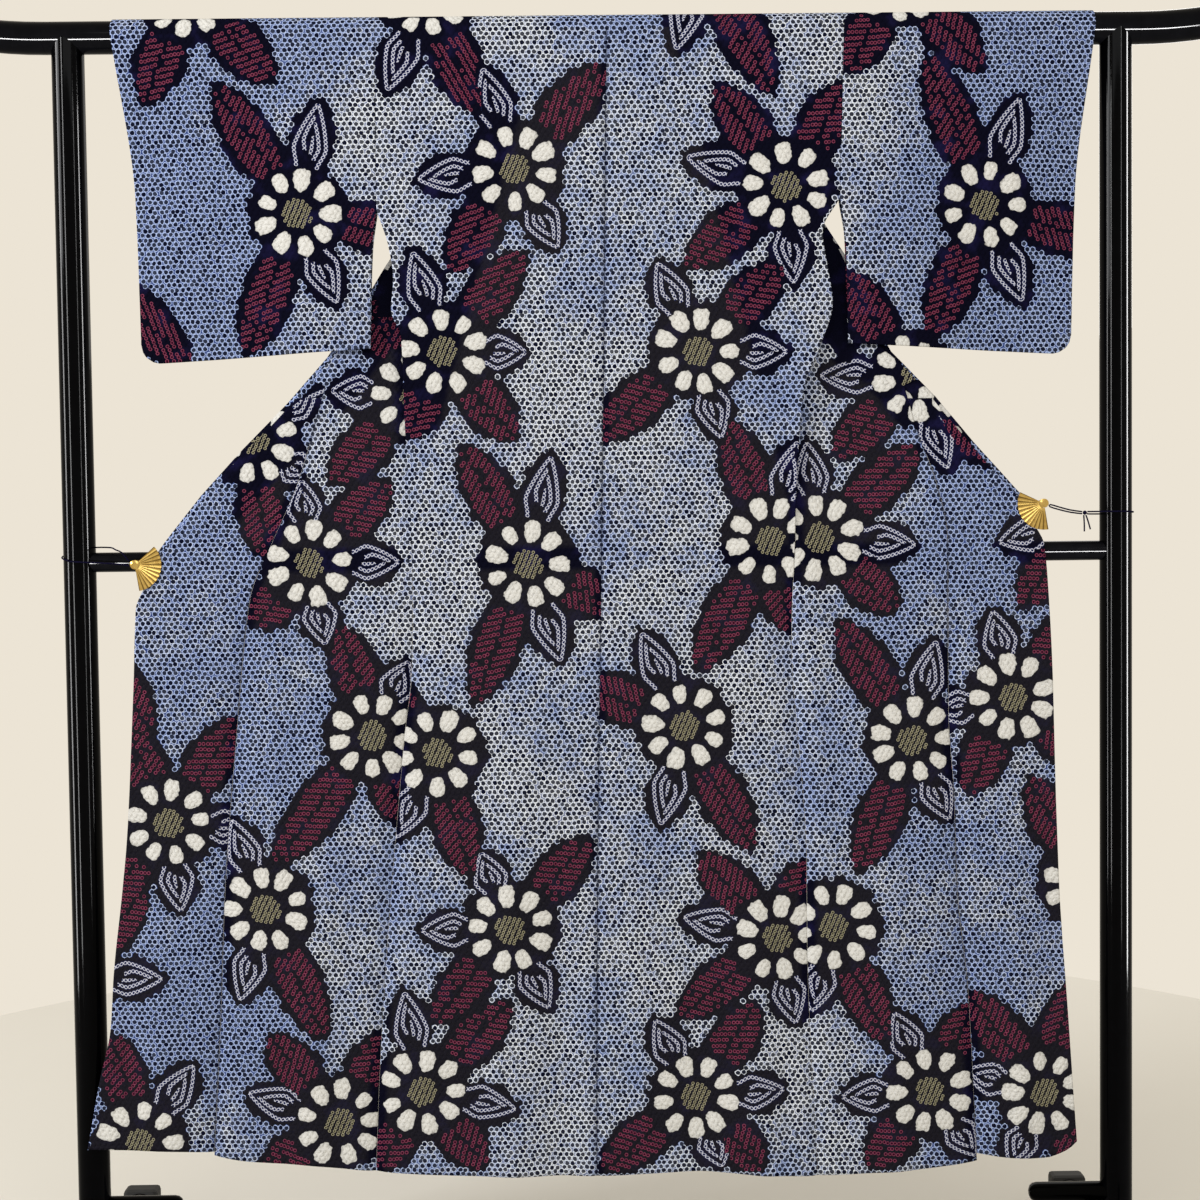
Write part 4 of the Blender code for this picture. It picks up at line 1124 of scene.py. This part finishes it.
ROW_SLIDE, ROW_LUCK_ALONG, ROW_LUCK_ASIDE = 0.37, 0.25, 0.16
ROW_RING, ROW_RING_LINE, ROW_RING_FILL = 0.39, (0.00022, 0.00042), (0.0016, 0.0022)
MISSING_RINGS = 0.05
STRAND_PITCH, STRAND_RING = 0.0052, 0.0021
STRAND_LINE, STRAND_FILL = (0.00028, 0.00035), (0.0026, 0.0044)

# The chains of rings in a blue leaf, on both sides of its middle or on one: from and to which
# share of its length, and how far aside they start.
Strand = namedtuple("Strand", "side start end share")
BLUE_STRANDS = [
    Strand(0, 0.14, 0.90, 0.76),
    Strand(1, 0.24, 0.68, 0.42),
    Strand(-1, 0.34, 0.76, 0.36),
    Strand(1, 0.30, 0.52, 0.08),
]


def leaf_outline(t):
    """How wide a leaf is at a share of its length, against its widest."""
    t = t.at_least(0.0) ** 0.9
    return (t * (1.0 - t) * 4.0).at_least(0.0) ** 0.80


def in_leaf(x, y, leaf, turn):
    """The share along the leaf, and the distance aside against its length."""
    dx, dy = x - leaf[0], y - leaf[1]
    along = dx * turn[0] + dy * turn[1]
    aside = dx * turn[1] - dy * turn[0]
    return along, aside


def length_of(x, y):
    return (x * x + y * y) ** 0.5


def band(distance, middle, half, soft):
    return 1.0 - abs(distance - middle).ramp(half, half + soft)


def shibori():
    """Tie-dyed cotton: small pale rings all over, and flowers and leaves in rows of rings."""
    p = Painter("shibori_cotton_shown")
    across, down, single = p.attribute("cloth")
    place = p.vector(across, down)

    # Rings of the ground, in staggered rows. A ring's middle says what it lies on, so that rings
    # stay whole.
    wander = p.noise(place, *WANDER_NOISE)
    rough = p.noise(place, *ROUGH_NOISE)
    x = across + (wander - 0.5) * WANDER + (rough - 0.5) * ROUGH_ACROSS
    y = down + (wander - 0.5) * -WANDER - (rough - 0.5) * ROUGH_DOWN
    rows = []
    for shift in (0.0, 0.5):
        column, row = (x / RING_WIDE + shift).floor(), (y / RING_TALL + shift).floor()
        luck = p.chance(column + shift * 31.0, row)
        middle_x = (column + (0.5 - shift) + (luck[0] - 0.5) * CELL_LUCK_ACROSS) * RING_WIDE
        middle_y = (row + (0.5 - shift) + (luck[1] - 0.5) * CELL_LUCK_DOWN) * RING_TALL
        rows.append((length_of(x - middle_x, y - middle_y), middle_x, middle_y, *luck))
    second = rows[1][0] < rows[0][0]
    ring, cell_x, cell_y, *luck = [p.choose(second, one, two) for one, two in zip(*rows)]

    # Which leaf a ring of the ground is in.
    leaves = []
    for i in range(LEAF_SLOTS):
        leaf, turn = p.attribute(f"leaf_{i}"), p.attribute(f"turn_{i}")
        along, aside = in_leaf(cell_x, cell_y, leaf, turn)
        inside = abs(aside) < abs(leaf[2]) * leaf_outline(along)
        leaves.append((inside, leaf, turn))
    inside, leaf, turn = leaves[-1]
    for other, other_leaf, other_turn in reversed(leaves[:-1]):
        leaf = [p.choose(other, a, b) for a, b in zip(leaf, other_leaf)]
        turn = [p.choose(other, a, b) for a, b in zip(turn, other_turn)]
        inside = inside.at_least(other)

    # The flower: its dark ground, petals and centre.
    flower_x, flower_y, petals = p.attribute("flower")
    number = petals.floor()
    seed = petals.fraction()
    off_x, off_y = cell_x - flower_x, cell_y - flower_y
    disc = length_of(off_x, off_y) < DISC + (luck[1] - 0.5) * DISC_LUCK
    off_x, off_y = across - flower_x, down - flower_y
    reach = length_of(off_x, off_y)
    angle = off_y.angle_over(off_x) / (2 * math.pi) + seed
    petal = (angle * number + 0.5).floor()
    petal_luck = p.chance(petal - number * (petal / number).floor(), seed)
    sway = (angle - petal / number) * (2 * math.pi) + (petal_luck[0] - 0.5) * PETAL_TURN_LUCK
    out = reach * sway.cos() - (PETAL_OUT + (petal_luck[1] - 0.5) * PETAL_OUT_LUCK)
    over = reach * sway.sin()
    size = PETAL_LEAST + petal_luck[2] * PETAL_SPREAD
    lumpy = (p.noise(place, *LUMP_NOISE) - 0.5) * PETAL_LUMP
    long_share = abs(out / PETAL_LONG)
    wide_share = abs(over / (PETAL_WIDE + out * PETAL_FLARE))
    rounded = (long_share**PETAL_POWER + wide_share**PETAL_POWER) ** (1 / PETAL_POWER)
    petal_at = rounded / size + lumpy
    petal_mask = 1.0 - petal_at.ramp(*PETAL_EDGE)

    # Rows of rings, in red leaves and in flowers' centres. They share one lattice.
    in_disc = reach < CENTRE_REACH
    lean = p.choose(in_disc, turn[2], CENTRE_LEAN)
    spacing = p.choose(in_disc, ROW_SPACING, CENTRE_SPACING)
    pitch = p.choose(in_disc, ROW_PITCH, CENTRE_PITCH)
    c, s = lean.cos(), lean.sin()
    run = across * c + down * s
    rise = down * c - across * s
    row = (rise / spacing).floor()
    slide = row * ROW_SLIDE
    step = (run / pitch + slide).floor()
    ring_luck = p.chance(step, row)
    ring_run = (step + 0.5 - slide + (ring_luck[0] - 0.5) * ROW_LUCK_ALONG) * pitch
    ring_rise = (row + 0.5 + (ring_luck[1] - 0.5) * ROW_LUCK_ASIDE) * spacing
    ring_at = length_of(run - ring_run, rise - ring_rise)
    ring_x = ring_run * c - ring_rise * s
    ring_y = ring_run * s + ring_rise * c
    along, aside = in_leaf(ring_x, ring_y, leaf, turn)
    length = 1.0 / length_of(turn[0], turn[1])
    red_room = abs(aside) < leaf[2] * leaf_outline(along) * RED_SHARE
    beside_rib = abs(aside * length + (along - 0.5) * 0.004) > RIB
    from_flower = length_of(ring_x - flower_x, ring_y - flower_y)
    red_room = red_room * beside_rib * (from_flower > CLEAR_OF_FLOWER) * (along < RED_END)
    red_room = red_room * (ring_luck[2] > MISSING_RINGS)
    # No red rings in a patch of painted shade.
    red_room = red_room * inside * (turn[2] < SHADE_PATCH / 2)
    centre_room = from_flower < CENTRE_RADIUS
    ring_line = band(ring_at, pitch * ROW_RING, *ROW_RING_LINE)
    ring_fill = 1.0 - ring_at.ramp(*ROW_RING_FILL)

    # Strands of rings along a blue leaf: a pair round its edge, and three inside it.
    along, aside = in_leaf(across, down, leaf, turn)
    widest = (leaf[2] * -1.0).at_least(0.0) * length
    off_axis = abs(aside) * length
    across_strand = None
    for strand in BLUE_STRANDS:
        t = ((along - strand.start) / (strand.end - strand.start)).at_least(0.0).at_most(1.0)
        line = (1.0 - t**1.9) * (0.58 + t.ramp(0.0, 0.35) * 0.42) * widest * strand.share
        beyond = (along < strand.start) + (along > strand.end)
        if strand.side:
            beyond = beyond + (aside * strand.side < 0.0)
        gap = abs(off_axis - line) + beyond * 0.1
        across_strand = gap if across_strand is None else across_strand.at_most(gap)
    run = along * length / STRAND_PITCH
    strand_at = length_of((run.fraction() - 0.5) * STRAND_PITCH, across_strand)
    blue = inside * (leaf[2] < 0.0)
    strand_line = band(strand_at, STRAND_RING, *STRAND_LINE) * blue
    strand_fill = (1.0 - strand_at.ramp(*STRAND_FILL)) * blue

    # Colours, from the ground up.
    cloud = p.noise(place, *CLOUD_NOISE)
    fleck = p.noise(place, *FLECK_NOISE)
    # Worn holds the rings' own wear and the clouds, and also painted shade where a second layer lies
    # behind and towards the far sides.
    worn = (luck[0] - 0.5) * WORN_RING + (cloud - 0.5) * WORN_CLOUD
    sides_shade_share = abs(across).ramp(*SHADED_SIDES)
    worn = worn + (1.0 - single.at_least(0.0)) * LAYER_SHADE + sides_shade_share * SIDE_SHADE
    ring_tone = p.blend((worn + 0.38).ramp(0.0, 1.0) * 0.85, RING_COLOUR, RING_BLUE)
    ring_tone = p.blend((fleck - 0.38).ramp(0.0, 0.30) * 0.45, ring_tone, GROUND_BLUE)
    past_edge = ring - (RING_RADIUS + (luck[2] - 0.5) * RADIUS_LUCK)
    between = past_edge.ramp(*RING_EDGE)
    heart = 1.0 - past_edge.ramp(*HEART_EDGE)
    # Towards the far sides the ground between the rings is painted darker, for shade.
    ground = p.blend(between * (BETWEEN + sides_shade_share * BETWEEN_SHADE), ring_tone, GROUND_BLUE)
    ground = p.blend(heart * (0.96 + (luck[2] - 0.5) * 0.08), ground, HEART_COLOUR)

    crinkle = p.noise(p.vector(across * 3.2, down * 0.55), *CRINKLE_NOISE)
    navy = p.noise(place, *NAVY_NOISE).ramp(0.50, 0.72)
    dark = p.blend(navy * 0.7, NEAR_BLACK, NAVY_TINT)
    # Where one layer hangs alone, its dark parts are painted grey for the light that shines through
    # them from behind.
    dark = p.blend(single.at_least(0.0) * (0.60 + (crinkle - 0.5) * 2.0), dark, BACKLIT_GREY)
    in_dark = inside.at_least(disc)
    # The seams are painted dark for shade, where the doubled cloth lets no light through and its fold
    # is shaded.
    seam_shade = (single * -1.0).at_least(0.0)
    veins = p.noise(p.vector(out * 0.5, over, seed), *FLECK_NOISE).ramp(0.50, 0.66)
    petal_tone = p.blend(veins * 0.45 + petal_at.ramp(0.55, 1.0) * 0.25, PETAL_COLOUR, PETAL_CREASE)
    layers = [
        (seam_shade * 0.85, HEART_COLOUR),
        (in_dark, dark),
        (ring_fill * red_room, RED_HEART),
        (ring_line * red_room * (0.70 + ring_luck[2] * 0.3), RED_LINE),
        (strand_fill, BLUE_HEART),
        (strand_line, BLUE_LINE),
        (ring_fill * centre_room, GREEN_HEART),
        (ring_line * centre_room, GREEN_LINE),
        (petal_mask, petal_tone),
    ]
    colour = ground
    for share, above in layers:
        colour = p.blend(share, colour, above)
    p.set("Base Color", colour)
    p.set("Roughness", 0.86)
    p.set("Specular IOR Level", 0.0)

    # Relief: a knot stands up in each ring, petals are puffed, and the crepe shows all over.
    knots = (1.0 - ring.ramp(*KNOT_FOOT)) * KNOT
    puffs = (1.0 - petal_at).at_least(0.0) * PUFF
    p.bump(knots + puffs + crinkle * CRINKLE, 0.0012, 0.8)
    return p.material


PAINT_BLACK = (0.0002, 0.0002, 0.00025)
RUBBER_GREY = (0.016, 0.016, 0.016)
WORN_LIGHTER = 1.35
WORN_RANGE = (0.35, 0.75)
GLOSS_SPREAD = 0.10
GOLD = (0.62, 0.43, 0.13)
GOLD_RUBBED = (0.46, 0.29, 0.075)
GOLD_FOLD_SHADE = (0.085, 0.042, 0.008)
PLEAT_SHADE = (0.22, 0.46)
FAN_HUB = (0.008, 0.012)
CORD_TWIST = 5200.0
CORD_DARK = (0.003, 0.003, 0.012)
CORD_LIGHT = (0.018, 0.015, 0.055)


def paint(name, colour, roughness, specular, round_of=None):
    """A stand material with slight unevenness in its gloss."""
    p = Painter(name)
    place = p.object_place()
    normal = round_of(p, place) if round_of else None
    worn = p.noise(place, 60.0, 4.0, 0.65)
    fine = p.noise(place, 900.0)
    lighter = [channel * WORN_LIGHTER for channel in colour]
    p.set("Base Color", p.blend(worn.ramp(*WORN_RANGE), colour, lighter))
    p.set("Roughness", roughness + (worn - 0.5) * GLOSS_SPREAD)
    p.set("Specular IOR Level", specular)
    p.bump(fine * 0.3 + worn, 0.00002 if normal else 0.0001, 0.4, normal)
    return p.material


def outward(p, a, b, order):
    """The direction away from a tube's axis, so that its flat sides shine as one round."""
    reach = length_of(a, b)
    parts = {order[0]: a / reach, order[1]: b / reach}
    return p.vector(*[parts.get(axis, 0.0) for axis in "xyz"])


def post_round(p, place):
    x, y, _ = p.parts(place)
    return outward(p, x - x.sign() * POST_OUT, y, "xy")


def foot_round(p, place):
    x, _, z = p.parts(place)
    return outward(p, x - x.sign() * POST_OUT, z - FOOT_HEIGHT, "xz")


def bar_round(p, place):
    _, y, z = p.parts(place)
    middle = p.choose(z > (BAR_HEIGHT + STUB_HEIGHT) / 2, STUB_HEIGHT, BAR_HEIGHT)
    return outward(p, y, z - middle, "yz")


def rail_round(p, place):
    """The rail's ends bend gently upwards."""
    x, y, z = p.parts(place)
    past = (abs(x) - RAIL_BEND_START).at_least(0.0)
    return outward(p, y, z - RAIL_HEIGHT - past * past * RAIL_BEND, "yz")


def gold():
    """Stamped gilt metal: darker where it has rubbed, with painted shade in the fans' folds."""
    p = Painter("gold_shown")
    place = p.object_place()
    x, _, z = p.parts(place)
    left, right = LEFT.clip, RIGHT.clip
    on_right = x > 0.0
    dx = x - p.choose(on_right, -left.out, right.out)
    dz = z - p.choose(on_right, left.height, right.height)
    angle = dz.angle_over(dx) * (180 / math.pi)
    angle = p.choose(on_right * (angle < 0.0), angle, angle + 360.0)
    first = p.choose(on_right, float(left.first_angle), float(right.first_angle))
    fold = abs(left.last_angle - left.first_angle) / FAN_PLEATS
    at = (abs(angle - first) / fold).fraction()
    # The fans' folds are painted dark for shade.
    fold_shade = abs(at - 0.5).ramp(*PLEAT_SHADE) * length_of(dx, dz).ramp(*FAN_HUB)
    rubbed = p.noise(place, 120.0, 3.0, 0.6)
    tone = p.blend(rubbed.ramp(*WORN_RANGE), GOLD, GOLD_RUBBED)
    p.set("Base Color", p.blend(fold_shade * 0.85, tone, GOLD_FOLD_SHADE))
    p.set("Roughness", 0.24 + (rubbed - 0.5) * GLOSS_SPREAD)
    p.set("Metallic", 1.0)
    p.bump(p.noise(place, 1600.0, 2.0, 0.6), 0.00006, 0.3)
    return p.material


def cord():
    """Dark navy twisted cord."""
    p = Painter("navy_cord_shown")
    place = p.object_place()
    x, y, z = p.parts(place)
    twist = ((x * 1.3 + z * 1.6 + y) * CORD_TWIST).sin() * ((x * 1.3 - z * 1.6 - y) * CORD_TWIST).sin()
    fibre = p.noise(place, 2600.0, 2.0, 0.6)
    p.set("Base Color", p.blend(twist.ramp(-0.3, 0.8), CORD_DARK, CORD_LIGHT))
    p.set("Roughness", 0.50 + (fibre - 0.5) * 0.3)
    p.set("Specular IOR Level", 0.0)
    p.bump(twist * 0.6 + fibre * 0.5, 0.0003, 0.8)
    return p.material


# What the names of the black tubes start with, and their rounds.
BLACK_TUBES = (
    (("post",), post_round),
    (("foot",), foot_round),
    (("crossbar", "stub"), bar_round),
    (("rail",), rail_round),
)


def dress_stand():
    """Gives every model part that stays its own worked material."""
    finishes = [
        (("rail_cap", "pad"), paint("rubber_shown", RUBBER_GREY, 0.68, 0.30)),
        (("clip",), gold()),
        (("cord",), cord()),
    ]
    for starts, round_of in BLACK_TUBES:
        look = paint(f"black_{round_of.__name__}_shown", PAINT_BLACK, 0.08, 0.028, round_of)
        finishes.append((starts, look))
    for name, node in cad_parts.items():
        look = next((look for starts, look in finishes if name.startswith(starts)), None)
        for slot in node.material_slots:
            slot.material = look


FLOOR_RADIUS = 1.9
FLOOR_SIDES = 128
FLOOR_COLOURS = ((0.630, 0.612, 0.568), (0.645, 0.628, 0.582))
ROOM_LIGHT = (0.84, 0.775, 0.665)


def make_stage():
    """A plain pale floor, in a room of plain pale light."""
    mesh = bpy.data.meshes.new("floor")
    turns = [2 * math.pi * i / FLOOR_SIDES for i in range(FLOOR_SIDES)]
    rim = [(FLOOR_RADIUS * math.cos(turn), FLOOR_RADIUS * math.sin(turn), 0.0) for turn in turns]
    mesh.from_pydata(rim, [], [range(FLOOR_SIDES)])
    floor = bpy.data.objects.new("floor", mesh)
    bpy.context.collection.objects.link(floor)
    p = Painter("floor_pale")
    grain = p.noise(p.object_place(), 3.0, 3.0, 0.5)
    p.set("Base Color", p.blend(grain, *FLOOR_COLOURS))
    p.set("Roughness", 0.9)
    floor.data.materials.append(p.material)

    world = bpy.data.worlds.new("room")
    world.use_nodes = True
    feed(world.node_tree.nodes["Background"].inputs["Color"], ROOM_LIGHT)
    bpy.context.scene.world = world
    bpy.context.scene.view_settings.view_transform = "Standard"


WHITE = (1.0, 1.0, 1.0)
Lamp = namedtuple("Lamp", "name place aim size power colour", defaults=[WHITE])
LAMPS = [
    Lamp("above", (0.0, -2.8, 2.7), (0.0, 0.0, 1.0), (3.0, 0.5), 22.0, (0.96, 0.98, 1.0)),
    Lamp("key", (-5.2, -2.6, 3.0), (0.0, 0.0, 1.0), (1.4, 1.4), 235.0, (0.97, 0.98, 1.0)),
    Lamp("rear", (1.2, 2.6, 2.4), (0.0, 0.0, 1.0), (1.6, 1.6), 22.0, (0.98, 0.98, 0.98)),
]
# Narrow lamps that give the gloss of the black tubes its streaks. They light only the nodes that
# are named below them.
STREAKS = [
    Lamp("streak_left", (-3.0, -0.75, 1.2), (0.0, 0.0, 1.1), (0.36, 2.8), 280.0),
    Lamp("streak_right", (3.0, -0.75, 1.2), (0.0, 0.0, 1.1), (0.36, 2.8), 800.0),
    Lamp("streak_near", (-2.1, -2.4, 1.2), (0.0, 0.0, 1.1), (0.24, 2.8), 260.0),
    Lamp("streak_far", (1.8, -2.6, 1.2), (0.0, 0.0, 1.1), (0.16, 2.8), 100.0),
    Lamp("streak_low", (0.0, -2.7, 0.45), (0.0, 0.0, 1.7), (3.8, 0.26), 2400.0),
]
STREAKED = {"streak_low": ("rail", "rail_end_left", "rail_end_right", "crossbar")}
UPRIGHTS = ("post_left", "post_right", "crossbar")


def make_lamps():
    for lamp in LAMPS + STREAKS:
        light = bpy.data.lights.new(lamp.name, "AREA")
        light.shape = "RECTANGLE"
        light.size, light.size_y = lamp.size
        light.energy = lamp.power
        light.color = lamp.colour
        made = bpy.data.objects.new(lamp.name, light)
        made.location = lamp.place
        made.rotation_mode = "QUATERNION"
        aim = Vector(lamp.aim) - Vector(lamp.place)
        made.rotation_quaternion = aim.to_track_quat("-Z", "Y")
        if lamp in STREAKS:
            lit = bpy.data.collections.new(f"lit_by_{lamp.name}")
            for name in STREAKED.get(lamp.name, UPRIGHTS):
                lit.objects.link(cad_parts[name])
            made.light_linking.receiver_collection = lit
        bpy.context.collection.objects.link(made)


CAMERA_PLACE = (-0.0171, -2.2, 1.0394)
# Yaw, pitch and roll in degrees, and the turn that levels the camera.
CAMERA_TURNS = ((-0.458, "Z"), (-2.069, "X"), (0.696, "Y"), (90, "X"))
CAMERA_LENS = 48.03
SENSOR = 36.0
CLIP_NEAR, CLIP_FAR = 0.05, 60.0


def make_camera():
    data = bpy.data.cameras.new("camera")
    data.lens = CAMERA_LENS
    data.sensor_width = SENSOR
    data.clip_start, data.clip_end = CLIP_NEAR, CLIP_FAR
    made = bpy.data.objects.new("camera", data)
    bpy.context.collection.objects.link(made)
    place = Matrix.Translation(CAMERA_PLACE)
    for angle, axis in CAMERA_TURNS:
        place = place @ Matrix.Rotation(math.radians(angle), 4, axis)
    made.matrix_world = place
    bpy.context.scene.camera = made


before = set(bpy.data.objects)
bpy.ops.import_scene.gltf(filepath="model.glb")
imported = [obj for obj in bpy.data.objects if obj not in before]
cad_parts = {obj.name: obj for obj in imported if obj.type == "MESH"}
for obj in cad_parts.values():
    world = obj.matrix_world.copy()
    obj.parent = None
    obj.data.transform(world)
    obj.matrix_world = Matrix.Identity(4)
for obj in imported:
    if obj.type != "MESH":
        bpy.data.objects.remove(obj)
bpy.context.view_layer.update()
make_camera()
make_stage()
make_lamps()
dress_stand()
cotton = shibori()
for each in SIDES:
    make_body(each, cotton)
    make_sleeve(each, cotton)
    make_okumi(each, cotton)
make_collar(cotton)
